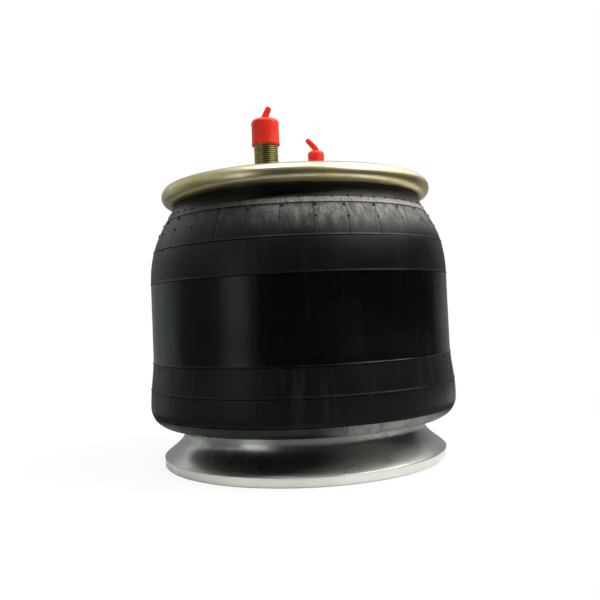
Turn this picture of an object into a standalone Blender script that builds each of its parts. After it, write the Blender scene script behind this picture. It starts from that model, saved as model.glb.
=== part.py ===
"""Air bellows actuator: a reversible rubber sleeve that rolls on a flared cast piston.

Every length is in metres. The origin is the centre of the piston's base and +Z points to the bead plate.
"""

import math

import bmesh
import bpy
from mathutils import Matrix, Vector

MM = 0.001

# Clearances
SEAT_GAP = 0.3 * MM
STOP_GAP = 1.0 * MM
WIRE_GAP = 0.5 * MM

# Faceting
RING_FACETS = 44
INNER_FACETS = 32
SMALL_FACETS = 20
CORNER_STEPS = 3
ROUND_STEPS = 4
TAB_STEPS = 5
COVE_STEPS = 5
SHOULDER_STEPS = 6
FLARE_STEPS = 4
FOLD_OUTER_STEPS = 8
FOLD_INNER_STEPS = 5
ROLL_OUTER_STEPS = 9
ROLL_INNER_STEPS = 7
BEAD_STEPS = 6
BUNDLE_SIDES = 6
SHARP_DEGREES = 35.0
MERGE_DISTANCE = 0.0001 * MM

# Whole actuator as it stands in the photograph
STANDING_HEIGHT = 231.0 * MM
COMPRESSION_TRAVEL = 36.0 * MM

# Bead plate and its rolled rim
PLATE_DIAMETER = 228.6 * MM
PLATE_THICKNESS = 2.8 * MM
ROLL_DEPTH = 16.0 * MM
ROLL_WRAP_DEGREES = 188.0

# Studs
STUD_SPACING = 125.0 * MM
STUD_LINE_DEGREES = 70.0
STUD_PROJECTION = 42.0 * MM
STUD_CHAMFER = 1.2 * MM
STUD_HEAD_THICKNESS = 4.5 * MM
COMBO_STUD_DIAMETER = 19.05 * MM
COMBO_HEAD_DIAMETER = 30.0 * MM
PORT_DIAMETER = 12.4 * MM
PORT_DEPTH = 15.0 * MM
AIRWAY_DIAMETER = 8.0 * MM
PLAIN_STUD_DIAMETER = 12.7 * MM
PLAIN_HEAD_DIAMETER = 24.0 * MM

# Vinyl caps
CAP_WALL = 1.3 * MM
CAP_TOP_THICKNESS = 1.7 * MM
CAP_CORNER = 3.2 * MM
COMBO_CAP_LENGTH = 22.0 * MM
PLAIN_CAP_LENGTH = 19.0 * MM
TAB_WIDTH = 4.0 * MM
TAB_THICKNESS = 2.4 * MM
COMBO_TAB_LENGTH = 11.5 * MM
COMBO_TAB_LEAN_DEGREES = 24.0
PLAIN_TAB_LENGTH = 15.5 * MM
PLAIN_TAB_LEAN_DEGREES = -42.0

# Rubber sleeve
SLEEVE_WALL = 6.5 * MM
SLEEVE_DIAMETER = 251.0 * MM
LOBE_DIAMETER = 258.0 * MM
LOBE_CENTRE_HEIGHT = 49.0 * MM
LOBE_DROP = 15.5 * MM
FLARE_HEIGHT = 46.0 * MM
FLARE_HANDLE = 18.4 * MM
SHOULDER_DEPTH = 82.0 * MM
NECK_DEPTH = 17.5 * MM
SHOULDER_NECK_HANDLE = 16.0 * MM
SHOULDER_NECK_SLOPE_DEGREES = 68.0
SHOULDER_BODY_HANDLE = 38.0 * MM
BEAD_HEIGHT = 8.4 * MM
BEAD_WIDTH = 16.0 * MM
WIRE_BUNDLE = 4.6 * MM

# Piston
PISTON_HEIGHT = 122.0 * MM
PISTON_WALL = 6.0 * MM
PISTON_DECK = 8.0 * MM
PISTON_FLANGE_DIAMETER = 238.6 * MM
PISTON_BAND_HEIGHT = 5.5 * MM
PISTON_LIP_RADIUS = 7.0 * MM
PISTON_FLARE_SLOPE_DEGREES = 40.0
PISTON_FLARE_HANDLE = 9.0 * MM
PISTON_NECK_DIAMETER = 203.4 * MM
PISTON_NECK_HEIGHT = 28.0 * MM
PISTON_TOP_DIAMETER = 196.0 * MM
PISTON_SHOULDER = 10.0 * MM
PISTON_FOOT_WIDTH = 11.0 * MM
RIB_THICKNESS = 5.0 * MM
RIB_CLEARANCE = 14.0 * MM
HUB_CLEARANCE = 12.0 * MM
HUB_WALL = 5.0 * MM
HUB_WELL_DIAMETER = 40.0 * MM
HUB_PAD = 10.0 * MM
MOUNT_COUNT = 4
MOUNT_CIRCLE_DIAMETER = 139.7 * MM
MOUNT_POST_WALL = 6.5 * MM
INSERT_DIAMETER = 17.0 * MM
INSERT_BORE_DIAMETER = 12.7 * MM
INSERT_LENGTH = 24.0 * MM
INSERT_RECESS = 0.8 * MM
DRILL_POINT = 4.0 * MM

# End closure
CLOSURE_THICKNESS = 3.0 * MM
CLOSURE_BEND = 2.0 * MM
BEAD_CIRCLE_DIAMETER = 148.0 * MM

# Bump stop and the bolt through the middle
BUMP_PLATE_DIAMETER = 88.0 * MM
BUMP_PLATE_THICKNESS = 3.2 * MM
BUMP_BASE_DIAMETER = 92.0 * MM
BUMP_TOP_DIAMETER = 74.0 * MM
BUMP_CORNER = 7.0 * MM
BUMP_WELL_DIAMETER = 36.0 * MM
BOLT_DIAMETER = 16.0 * MM
BOLT_HEAD_ACROSS_FLATS = 24.0 * MM
BOLT_HEAD_HEIGHT = 10.0 * MM
BOLT_END_LENGTH = 4.0 * MM
WASHER_DIAMETER = 30.0 * MM
WASHER_THICKNESS = 2.6 * MM
NUT_HEIGHT = 13.0 * MM
SEAL_SECTION = 3.2 * MM
SEAL_DEPTH = 2.6 * MM

# Heights and radii worked out from the values above
PLATE_UNDERSIDE = STANDING_HEIGHT - PLATE_THICKNESS
PLATE_RADIUS = PLATE_DIAMETER / 2
ROLL_RADIUS = ROLL_DEPTH / 2
ROLL_CENTRE = (PLATE_RADIUS - ROLL_RADIUS, STANDING_HEIGHT - ROLL_RADIUS)
ROLL_INNER_RADIUS = ROLL_RADIUS - PLATE_THICKNESS
UPPER_BEAD_RADIUS = ROLL_INNER_RADIUS - SEAT_GAP
LIP_DEGREES = 90.0 - ROLL_WRAP_DEGREES
LIP_RADIUS = ROLL_CENTRE[0] + ROLL_RADIUS * math.cos(math.radians(LIP_DEGREES))
NECK_RADIUS = LIP_RADIUS - SEAT_GAP
NECK_HEIGHT = STANDING_HEIGHT - NECK_DEPTH
STUD_RADIUS = STUD_SPACING / 2
STUD_BEARING = math.radians(STUD_LINE_DEGREES)
STUD_TOP = STANDING_HEIGHT + STUD_PROJECTION
PLAIN_STUD_PLACE = (STUD_RADIUS * math.cos(STUD_BEARING), STUD_RADIUS * math.sin(STUD_BEARING))
COMBO_STUD_PLACE = (-PLAIN_STUD_PLACE[0], -PLAIN_STUD_PLACE[1])
SLEEVE_RADIUS = SLEEVE_DIAMETER / 2
LOBE_RADIUS = LOBE_DIAMETER / 2
PISTON_NECK_RADIUS = PISTON_NECK_DIAMETER / 2
PISTON_TOP_RADIUS = PISTON_TOP_DIAMETER / 2
PISTON_FLANGE_RADIUS = PISTON_FLANGE_DIAMETER / 2
PISTON_SHOULDER_HEIGHT = PISTON_HEIGHT - PISTON_SHOULDER
CLOSURE_BASE = PISTON_HEIGHT + SEAT_GAP
BEAD_OUTER_RADIUS = BEAD_CIRCLE_DIAMETER / 2 + BEAD_WIDTH / 2
BEAD_INNER_RADIUS = BEAD_CIRCLE_DIAMETER / 2 - BEAD_WIDTH / 2
BEAD_TOP = CLOSURE_BASE + BEAD_HEIGHT
BUMP_PLATE_BASE = CLOSURE_BASE + CLOSURE_THICKNESS + SEAT_GAP
BUMP_PLATE_TOP = BUMP_PLATE_BASE + BUMP_PLATE_THICKNESS
BUMP_BASE = BUMP_PLATE_TOP + SEAT_GAP
BUMP_TOP = PLATE_UNDERSIDE - COMPRESSION_TRAVEL - STOP_GAP
HEAD_WASHER_BASE = BUMP_PLATE_TOP + SEAT_GAP
BOLT_HEAD_BASE = HEAD_WASHER_BASE + WASHER_THICKNESS + SEAT_GAP
DECK_UNDERSIDE = PISTON_HEIGHT - PISTON_DECK
INNER_TOP = DECK_UNDERSIDE - SEAT_GAP
HUB_PAD_BASE = DECK_UNDERSIDE - HUB_PAD
NUT_WASHER_TOP = HUB_PAD_BASE - SEAT_GAP
NUT_TOP = NUT_WASHER_TOP - WASHER_THICKNESS - SEAT_GAP
BOLT_END = NUT_TOP - NUT_HEIGHT - BOLT_END_LENGTH
BOLT_HOLE_RADIUS = BOLT_DIAMETER / 2 + SEAT_GAP
HUB_WELL_RADIUS = HUB_WELL_DIAMETER / 2
HUB_RADIUS = HUB_WELL_RADIUS + HUB_WALL
MOUNT_CIRCLE_RADIUS = MOUNT_CIRCLE_DIAMETER / 2
INSERT_RADIUS = INSERT_DIAMETER / 2
MOUNT_HOLE_RADIUS = INSERT_RADIUS + SEAT_GAP
MOUNT_POST_RADIUS = MOUNT_HOLE_RADIUS + MOUNT_POST_WALL


def clear_scene():
    for item in list(bpy.data.objects):
        bpy.data.objects.remove(item, do_unlink=True)


def finish(name, colour, roughness, metallic):
    """Return a Principled material of one plain finish."""
    material = bpy.data.materials.new(name)
    material.use_nodes = True
    shader = material.node_tree.nodes["Principled BSDF"]
    shader.inputs["Base Color"].default_value = (*colour, 1.0)
    shader.inputs["Roughness"].default_value = roughness
    shader.inputs["Metallic"].default_value = metallic
    material.diffuse_color = (*colour, 1.0)
    return material


def arc(centre, radii, start, end, steps):
    """Points of an elliptical arc in the (radius, height) plane, both ends included, angles in degrees."""
    points = []
    for step in range(steps + 1):
        angle = math.radians(start + (end - start) * step / steps)
        points.append((centre[0] + radii[0] * math.cos(angle), centre[1] + radii[1] * math.sin(angle)))
    return points


def bezier(start, start_handle, end_handle, end, steps):
    """Points of a cubic curve in the (radius, height) plane, both ends included."""
    points = []
    for step in range(steps + 1):
        t = step / steps
        weights = ((1 - t) ** 3, 3 * t * (1 - t) ** 2, 3 * t * t * (1 - t), t**3)
        corners = (start, start_handle, end_handle, end)
        points.append(tuple(sum(w * c[axis] for w, c in zip(weights, corners)) for axis in (0, 1)))
    return points


def offset(points, distance):
    """Move an open line sideways, to the right of its direction of travel."""
    moved = []
    for index, point in enumerate(points):
        before = Vector(points[max(index - 1, 0)])
        after = Vector(points[min(index + 1, len(points) - 1)])
        along = (after - before).normalized()
        moved.append((point[0] + distance * along.y, point[1] - distance * along.x))
    return moved


def new_object(name, mesh_builder, material, place=(0.0, 0.0, 0.0), parent=None):
    """Turn a bmesh into a named object that stands at its place."""
    bmesh.ops.remove_doubles(mesh_builder, verts=mesh_builder.verts, dist=MERGE_DISTANCE)
    bmesh.ops.recalc_face_normals(mesh_builder, faces=mesh_builder.faces)
    mesh = bpy.data.meshes.new(name)
    mesh_builder.to_mesh(mesh)
    mesh_builder.free()
    mesh.shade_smooth()
    mesh.set_sharp_from_angle(angle=math.radians(SHARP_DEGREES))
    item = bpy.data.objects.new(name, mesh)
    bpy.context.collection.objects.link(item)
    item.location = place
    if parent:
        item.parent = parent
    if material:
        mesh.materials.append(material)
    return item


def revolve(name, outline, material, facets=RING_FACETS, place=(0.0, 0.0, 0.0), parent=None):
    """Turn an outline of (radius, height) points about +Z.

    An outline whose two ends lie on the axis makes a solid with poles, and any other makes a closed ring.
    """
    builder = bmesh.new()
    verts = [builder.verts.new((radius, 0.0, height)) for radius, height in outline]
    on_axis = outline[0][0] == 0.0 and outline[-1][0] == 0.0
    pairs = list(zip(verts, verts[1:]))
    if not on_axis:
        pairs.append((verts[-1], verts[0]))
    edges = [builder.edges.new(pair) for pair in pairs]
    bmesh.ops.spin(
        builder,
        geom=verts + edges,
        cent=(0, 0, 0),
        axis=(0, 0, 1),
        angle=math.tau,
        steps=facets,
        use_merge=True,
    )
    return new_object(name, builder, material, place, parent)


def prism(name, corners, low, high, material, place=(0.0, 0.0, 0.0)):
    """Extrude a flat outline of (x, y) corners between two heights."""
    builder = bmesh.new()
    base = builder.faces.new([builder.verts.new((x, y, low)) for x, y in corners])
    extruded = bmesh.ops.extrude_face_region(builder, geom=[base])
    top = [item for item in extruded["geom"] if isinstance(item, bmesh.types.BMVert)]
    bmesh.ops.translate(builder, verts=top, vec=(0, 0, high - low))
    return new_object(name, builder, material, place)


def ring_of_corners(radius, count, turn=0.0):
    return [
        (radius * math.cos(turn + math.tau * k / count), radius * math.sin(turn + math.tau * k / count))
        for k in range(count)
    ]


def combine(target, tool, operation):
    """Add a live Boolean to the target and keep its tool as a hidden guide."""
    modifier = target.modifiers.new(tool.name, "BOOLEAN")
    modifier.operation = operation
    modifier.solver = "EXACT"
    modifier.object = tool
    tool.hide_render = True
    tool.display_type = "WIRE"


def tube(name, bore_radius, outer_radius, low, high, material, place=(0.0, 0.0, 0.0)):
    outline = [(outer_radius, high), (outer_radius, low), (bore_radius, low), (bore_radius, high)]
    return revolve(name, outline, material, SMALL_FACETS, place)


def piston_side():
    """Outer line of the piston from its shoulder down to its neck: the line that the sleeve lies on."""
    shoulder_centre = (PISTON_TOP_RADIUS - PISTON_SHOULDER, PISTON_SHOULDER_HEIGHT)
    round_over = arc(shoulder_centre, (PISTON_SHOULDER, PISTON_SHOULDER), 90, 0, CORNER_STEPS)
    return round_over + [(PISTON_NECK_RADIUS, PISTON_NECK_HEIGHT)]


def piston_radius(height):
    """Radius of the piston's tapered side at a height between its neck and its shoulder."""
    share = (height - PISTON_NECK_HEIGHT) / (PISTON_SHOULDER_HEIGHT - PISTON_NECK_HEIGHT)
    return PISTON_NECK_RADIUS + share * (PISTON_TOP_RADIUS - PISTON_NECK_RADIUS)


def flare_line():
    """Concave flare and rounded lip, from the piston's neck down to the top of its machined band."""
    lip_centre = (PISTON_FLANGE_RADIUS - PISTON_LIP_RADIUS, PISTON_BAND_HEIGHT)
    slope = math.radians(PISTON_FLARE_SLOPE_DEGREES)
    lip_start = 90 - PISTON_FLARE_SLOPE_DEGREES
    lip = arc(lip_centre, (PISTON_LIP_RADIUS, PISTON_LIP_RADIUS), lip_start, 0, CORNER_STEPS)
    handle = PISTON_FLARE_HANDLE
    cove = bezier(
        (PISTON_NECK_RADIUS, PISTON_NECK_HEIGHT),
        (PISTON_NECK_RADIUS, PISTON_NECK_HEIGHT - handle),
        (lip[0][0] - handle * math.cos(slope), lip[0][1] + handle * math.sin(slope)),
        lip[0],
        COVE_STEPS,
    )
    return cove[1:] + lip[1:]


def build_piston(material):
    """Cast skirt, closed by its deck and open underneath, with hub, posts and ribs inside."""
    band_foot = (PISTON_FLANGE_RADIUS, 0.0)
    foot_inner = PISTON_FLANGE_RADIUS - PISTON_FOOT_WIDTH
    wall_foot = (PISTON_NECK_RADIUS - PISTON_WALL, PISTON_NECK_HEIGHT)
    corner_centre = (PISTON_TOP_RADIUS - PISTON_WALL - PISTON_DECK, DECK_UNDERSIDE - PISTON_DECK)
    inner_corner = arc(corner_centre, (PISTON_DECK, PISTON_DECK), 0, 90, CORNER_STEPS)
    outline = [(BOLT_HOLE_RADIUS, PISTON_HEIGHT)] + piston_side() + flare_line() + [band_foot]
    outline += [(foot_inner, 0.0), wall_foot] + inner_corner + [(BOLT_HOLE_RADIUS, DECK_UNDERSIDE)]
    revolve("piston", outline, material)
    build_hub(material)
    build_mounting_posts(material)
    build_ribs(material)


def build_hub(material):
    """Tube under the deck with a pad across its top that the nut pulls against."""
    outline = [
        (HUB_RADIUS, INNER_TOP),
        (HUB_RADIUS, HUB_CLEARANCE),
        (HUB_WELL_RADIUS, HUB_CLEARANCE),
        (HUB_WELL_RADIUS, HUB_PAD_BASE),
        (BOLT_HOLE_RADIUS, HUB_PAD_BASE),
        (BOLT_HOLE_RADIUS, INNER_TOP),
    ]
    revolve("piston_hub", outline, material, SMALL_FACETS)


def mount_places():
    return ring_of_corners(MOUNT_CIRCLE_RADIUS, MOUNT_COUNT, math.pi / MOUNT_COUNT)


def build_mounting_posts(material):
    """Posts from the deck to the base, each with a blind hole and its drill point."""
    depth = INSERT_RECESS + INSERT_LENGTH + SEAT_GAP
    outline = [
        (0.0, INNER_TOP),
        (MOUNT_POST_RADIUS, INNER_TOP),
        (MOUNT_POST_RADIUS, 0.0),
        (MOUNT_HOLE_RADIUS, 0.0),
        (MOUNT_HOLE_RADIUS, depth),
        (0.0, depth + DRILL_POINT),
    ]
    for index, (x, y) in enumerate(mount_places(), start=1):
        revolve(f"mounting_post_{index}", outline, material, SMALL_FACETS, (x, y, 0.0))


def build_ribs(material):
    """Ribs between the posts, and ribs from the hub to each post and on to the skirt."""
    hub_side = HUB_RADIUS + SEAT_GAP
    post_near_side = MOUNT_CIRCLE_RADIUS - MOUNT_POST_RADIUS - SEAT_GAP
    post_far_side = MOUNT_CIRCLE_RADIUS + MOUNT_POST_RADIUS + SEAT_GAP
    hub_to_post = [
        (hub_side, RIB_CLEARANCE),
        (post_near_side, RIB_CLEARANCE),
        (post_near_side, INNER_TOP),
        (hub_side, INNER_TOP),
    ]
    for index in range(MOUNT_COUNT):
        bearing = math.tau * index / MOUNT_COUNT
        post_bearing = bearing + math.pi / MOUNT_COUNT
        build_rib(f"rib_{index + 1}", skirt_rib_outline(hub_side), bearing, material)
        build_rib(f"hub_rib_{index + 1}", hub_to_post, post_bearing, material)
        build_rib(f"skirt_rib_{index + 1}", skirt_rib_outline(post_far_side), post_bearing, material)


def skirt_rib_outline(inner):
    """Outline of a rib from a radius out to the skirt, with a chamfer under the deck's corner."""
    flats = math.cos(math.pi / RING_FACETS)
    neck = (PISTON_NECK_RADIUS - PISTON_WALL) * flats - SEAT_GAP
    top = (PISTON_TOP_RADIUS - PISTON_WALL) * flats - SEAT_GAP
    corner_base = DECK_UNDERSIDE - PISTON_DECK
    taper = (neck - top) / (corner_base - PISTON_NECK_HEIGHT)
    foot = neck + taper * (PISTON_NECK_HEIGHT - RIB_CLEARANCE)
    crown = max(inner, top - (INNER_TOP - corner_base))
    outline = [(inner, RIB_CLEARANCE), (foot, RIB_CLEARANCE), (top, corner_base)]
    outline.append((crown, corner_base + top - crown))
    if crown > inner:
        outline.append((inner, INNER_TOP))
    return outline


def build_rib(name, outline, bearing, material):
    """Upright plate of an outline of (radius, height), turned to a bearing."""
    builder = bmesh.new()
    corners = [builder.verts.new((radius, -RIB_THICKNESS / 2, height)) for radius, height in outline]
    extruded = bmesh.ops.extrude_face_region(builder, geom=[builder.faces.new(corners)])
    moved = [item for item in extruded["geom"] if isinstance(item, bmesh.types.BMVert)]
    bmesh.ops.translate(builder, verts=moved, vec=(0, RIB_THICKNESS, 0))
    bmesh.ops.rotate(builder, verts=builder.verts, cent=(0, 0, 0), matrix=Matrix.Rotation(bearing, 3, "Z"))
    new_object(name, builder, material)


def build_thread_inserts(material):
    for index, (x, y) in enumerate(mount_places(), start=1):
        tube(
            f"thread_insert_{index}",
            INSERT_BORE_DIAMETER / 2,
            INSERT_RADIUS,
            INSERT_RECESS,
            INSERT_RECESS + INSERT_LENGTH,
            material,
            place=(x, y, 0.0),
        )


def sleeve_outer_line():
    """Outside of the sleeve, from its neck under the rim down to the widest point of the fold."""
    neck = (NECK_RADIUS, NECK_HEIGHT)
    slope = math.radians(SHOULDER_NECK_SLOPE_DEGREES)
    neck_handle = (
        NECK_RADIUS + SHOULDER_NECK_HANDLE * math.cos(slope),
        NECK_HEIGHT - SHOULDER_NECK_HANDLE * math.sin(slope),
    )
    body_top = (SLEEVE_RADIUS, STANDING_HEIGHT - SHOULDER_DEPTH)
    body_handle = (SLEEVE_RADIUS, body_top[1] + SHOULDER_BODY_HANDLE)
    body_foot = (SLEEVE_RADIUS, LOBE_CENTRE_HEIGHT + FLARE_HEIGHT)
    lobe_side = (LOBE_RADIUS, LOBE_CENTRE_HEIGHT)
    shoulder = bezier(neck, neck_handle, body_handle, body_top, SHOULDER_STEPS)
    flare = bezier(
        body_foot,
        (SLEEVE_RADIUS, body_foot[1] - FLARE_HANDLE),
        (LOBE_RADIUS, lobe_side[1] + FLARE_HANDLE),
        lobe_side,
        FLARE_STEPS,
    )
    return shoulder + flare


def build_bellows(material):
    """Sleeve wall, from the bead in the rim over the outside, round the fold and up to the lower bead."""
    wall = SLEEVE_WALL
    contact = piston_radius(LOBE_CENTRE_HEIGHT) + SEAT_GAP
    fold_half_width = (LOBE_RADIUS - contact) / 2
    fold_centre = (contact + fold_half_width, LOBE_CENTRE_HEIGHT)
    outside = sleeve_outer_line()
    fold_outside = arc(fold_centre, (fold_half_width, LOBE_DROP), 0, -180, FOLD_OUTER_STEPS)
    inner_radii = (fold_half_width - wall, LOBE_DROP - wall)
    fold_inside = arc(fold_centre, inner_radii, 0, -180, FOLD_INNER_STEPS)
    inside = offset(outside, wall)
    inside[-1] = (LOBE_RADIUS - wall, LOBE_CENTRE_HEIGHT)
    shoulder_centre = (PISTON_TOP_RADIUS - PISTON_SHOULDER, PISTON_SHOULDER_HEIGHT)
    near = PISTON_SHOULDER + SEAT_GAP
    far = near + wall
    against_piston = arc(shoulder_centre, (near, near), 0, 90, CORNER_STEPS)
    into_chamber = arc(shoulder_centre, (far, far), 90, 0, CORNER_STEPS)

    bead_top = (BEAD_OUTER_RADIUS, BEAD_TOP)
    wire_low = CLOSURE_BASE + (BEAD_HEIGHT - WIRE_BUNDLE) / 2 - WIRE_GAP
    wire_high = wire_low + WIRE_BUNDLE + 2 * WIRE_GAP
    wire_back = BEAD_CIRCLE_DIAMETER / 2 + WIRE_BUNDLE / 2 + WIRE_GAP
    lower_bead = [
        (BEAD_INNER_RADIUS, CLOSURE_BASE),
        (BEAD_INNER_RADIUS, wire_low),
        (wire_back, wire_low),
        (wire_back, wire_high),
        (BEAD_INNER_RADIUS, wire_high),
        (BEAD_INNER_RADIUS, BEAD_TOP),
        bead_top,
    ]
    outline = upper_bead_line() + outside + fold_outside[1:] + against_piston + lower_bead
    outline += into_chamber + fold_inside[::-1] + inside[-2::-1]
    return revolve("bellows", outline, material)


def upper_bead_line():
    """Top bead: chamber side of the neck, round the wire channel and the inside of the rolled rim."""
    chamber_side = NECK_RADIUS - SLEEVE_WALL
    bead_top = ROLL_CENTRE[1] + UPPER_BEAD_RADIUS
    half_channel = WIRE_BUNDLE / 2 + WIRE_GAP
    wire_back = upper_wire_radius() + half_channel
    start = math.degrees(math.acos((NECK_RADIUS - ROLL_CENTRE[0]) / UPPER_BEAD_RADIUS))
    return [
        (chamber_side, ROLL_CENTRE[1] - half_channel),
        (wire_back, ROLL_CENTRE[1] - half_channel),
        (wire_back, ROLL_CENTRE[1] + half_channel),
        (chamber_side, ROLL_CENTRE[1] + half_channel),
        (chamber_side, bead_top),
    ] + arc(ROLL_CENTRE, (UPPER_BEAD_RADIUS, UPPER_BEAD_RADIUS), 90, -start, BEAD_STEPS)


def upper_wire_radius():
    return ROLL_CENTRE[0] - SEAT_GAP


def build_bead_wire(name, ring_radius, height, material):
    """Hoop of wound bead wire with a six-sided bundle section."""
    turn = 360 - 360 / BUNDLE_SIDES
    outline = arc((ring_radius, height), (WIRE_BUNDLE / 2, WIRE_BUNDLE / 2), 0, -turn, BUNDLE_SIDES - 1)
    return revolve(name, outline, material)


def build_bead_plate(material):
    """Flat plate with its edge rolled out, down and in round the sleeve's bead."""
    outside = arc(ROLL_CENTRE, (ROLL_RADIUS, ROLL_RADIUS), 90, LIP_DEGREES, ROLL_OUTER_STEPS)
    inner_radii = (ROLL_INNER_RADIUS, ROLL_INNER_RADIUS)
    inside = arc(ROLL_CENTRE, inner_radii, LIP_DEGREES, 90, ROLL_INNER_STEPS)
    outline = [(0.0, STANDING_HEIGHT)] + outside + inside + [(0.0, PLATE_UNDERSIDE)]
    plate = revolve("bead_plate", outline, material)
    for name, place, diameter in (
        ("combo_hole_guide", COMBO_STUD_PLACE, COMBO_STUD_DIAMETER),
        ("plain_hole_guide", PLAIN_STUD_PLACE, PLAIN_STUD_DIAMETER),
    ):
        corners = ring_of_corners(diameter / 2 + SEAT_GAP, SMALL_FACETS)
        low = PLATE_UNDERSIDE - PLATE_THICKNESS
        high = STANDING_HEIGHT + PLATE_THICKNESS
        combine(plate, prism(name, corners, low, high, None, (*place, 0.0)), "DIFFERENCE")
    return plate


def stud_outline(diameter, head_diameter):
    """Outside of a headed stud, from its top down to the underside of its head."""
    radius = diameter / 2
    head_top = PLATE_UNDERSIDE - SEAT_GAP
    return [
        (radius - STUD_CHAMFER, STUD_TOP),
        (radius, STUD_TOP - STUD_CHAMFER),
        (radius, head_top),
        (head_diameter / 2, head_top),
        (head_diameter / 2, head_top - STUD_HEAD_THICKNESS),
    ]


def build_studs(material):
    foot = PLATE_UNDERSIDE - SEAT_GAP - STUD_HEAD_THICKNESS
    airway = AIRWAY_DIAMETER / 2
    port = PORT_DIAMETER / 2
    combo = stud_outline(COMBO_STUD_DIAMETER, COMBO_HEAD_DIAMETER)
    shelf = STUD_TOP - PORT_DEPTH
    combo += [(airway, foot), (airway, shelf), (port, shelf + port - airway), (port, STUD_TOP)]
    revolve("combo_stud", combo, material, SMALL_FACETS, (*COMBO_STUD_PLACE, 0.0))
    plain = [(0.0, STUD_TOP)] + stud_outline(PLAIN_STUD_DIAMETER, PLAIN_HEAD_DIAMETER) + [(0.0, foot)]
    revolve("plain_stud", plain, material, SMALL_FACETS, (*PLAIN_STUD_PLACE, 0.0))


def tab_guide(name, length, lean_degrees, root, place):
    """Flat pull tab with a rounded end that leans sideways, its root cut level inside the cap's top."""
    builder = bmesh.new()
    half_width = TAB_WIDTH / 2
    lean = math.radians(lean_degrees)
    end = Vector((math.sin(lean), math.cos(lean))) * (length - half_width)
    root_half = half_width / math.cos(lean)
    outline = [(-root_half, 0.0), (root_half, 0.0)]
    outline += arc(end, (half_width, half_width), -lean_degrees, 180 - lean_degrees, TAB_STEPS)
    face = builder.faces.new([builder.verts.new((x, -TAB_THICKNESS / 2, z)) for x, z in outline])
    extruded = bmesh.ops.extrude_face_region(builder, geom=[face])
    moved = [item for item in extruded["geom"] if isinstance(item, bmesh.types.BMVert)]
    bmesh.ops.translate(builder, verts=moved, vec=(0, TAB_THICKNESS, 0))
    return new_object(name, builder, None, (*place, root))


def build_cap(name, place, stud_diameter, length, tab_length, lean_degrees, material):
    """Dip-moulded cap: a thin tube closed by a rounded top, with a pull tab on it."""
    inner = stud_diameter / 2 + SEAT_GAP
    outer = inner + CAP_WALL
    ceiling = STUD_TOP + SEAT_GAP
    top = ceiling + CAP_TOP_THICKNESS
    mouth = top - length
    pull_axis = bpy.data.objects.new(f"{name}_pull_axis", None)
    pull_axis.location = (*place, STUD_TOP)
    bpy.context.collection.objects.link(pull_axis)
    outline = [(0.0, top)]
    corner_centre = (outer - CAP_CORNER, top - CAP_CORNER)
    outline += arc(corner_centre, (CAP_CORNER, CAP_CORNER), 90, 0, ROUND_STEPS)
    outline += [(outer, mouth), (inner, mouth), (inner, ceiling), (0.0, ceiling)]
    local = [(radius, height - STUD_TOP) for radius, height in outline]
    cap = revolve(name, local, material, SMALL_FACETS, parent=pull_axis)
    root = top - CAP_TOP_THICKNESS / 2
    combine(cap, tab_guide(f"{name}_tab_guide", tab_length, lean_degrees, root, place), "UNION")
    return cap


def build_end_closure(material):
    """Pressed disc: flat in the middle, stepped up and out over the lower bead."""
    base = CLOSURE_BASE
    step_inner = BEAD_INNER_RADIUS - SEAT_GAP - CLOSURE_THICKNESS
    brim_low = BEAD_TOP + SEAT_GAP
    brim_high = brim_low + CLOSURE_THICKNESS
    outline = [
        (BOLT_HOLE_RADIUS, base + CLOSURE_THICKNESS),
        (BOLT_HOLE_RADIUS, base),
        (step_inner + CLOSURE_THICKNESS - CLOSURE_BEND, base),
        (step_inner + CLOSURE_THICKNESS, base + CLOSURE_BEND),
        (step_inner + CLOSURE_THICKNESS, brim_low),
        (BEAD_OUTER_RADIUS, brim_low),
        (BEAD_OUTER_RADIUS, brim_high),
        (step_inner + CLOSURE_BEND, brim_high),
        (step_inner, brim_high - CLOSURE_BEND),
        (step_inner, base + CLOSURE_THICKNESS),
    ]
    return revolve("end_closure", outline, material, INNER_FACETS)


def build_bump_stop(rubber, steel):
    """Tapered rubber block on its steel base plate, with a well for the bolt's head."""
    corner_centre = (BUMP_TOP_DIAMETER / 2 - BUMP_CORNER, BUMP_TOP - BUMP_CORNER)
    corner = arc(corner_centre, (BUMP_CORNER, BUMP_CORNER), 90, 0, ROUND_STEPS)
    well = BUMP_WELL_DIAMETER / 2
    outline = corner + [
        (BUMP_BASE_DIAMETER / 2, BUMP_BASE + BUMP_CORNER),
        (BUMP_BASE_DIAMETER / 2, BUMP_BASE),
        (well, BUMP_BASE),
        (well, BUMP_TOP - BUMP_CORNER),
        (well + BUMP_CORNER / 2, BUMP_TOP),
    ]
    revolve("bump_stop", outline, rubber, INNER_FACETS)
    seal_seat = SEAL_DEPTH + SEAT_GAP
    seal_outer = BOLT_HOLE_RADIUS + SEAL_SECTION + SEAT_GAP
    plate = [
        (BUMP_PLATE_DIAMETER / 2, BUMP_PLATE_TOP),
        (BUMP_PLATE_DIAMETER / 2, BUMP_PLATE_BASE),
        (seal_outer, BUMP_PLATE_BASE),
        (BOLT_HOLE_RADIUS, BUMP_PLATE_BASE + seal_seat),
        (BOLT_HOLE_RADIUS, BUMP_PLATE_TOP),
    ]
    revolve("bump_stop_plate", plate, steel, INNER_FACETS)
    seal = [
        (seal_outer - SEAT_GAP, BUMP_PLATE_BASE),
        (BOLT_HOLE_RADIUS, BUMP_PLATE_BASE),
        (BOLT_HOLE_RADIUS, BUMP_PLATE_BASE + SEAL_DEPTH),
    ]
    revolve("piston_bolt_seal", seal, rubber, INNER_FACETS)


def hexagon(across_flats):
    return ring_of_corners(across_flats / math.sqrt(3), 6)


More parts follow.
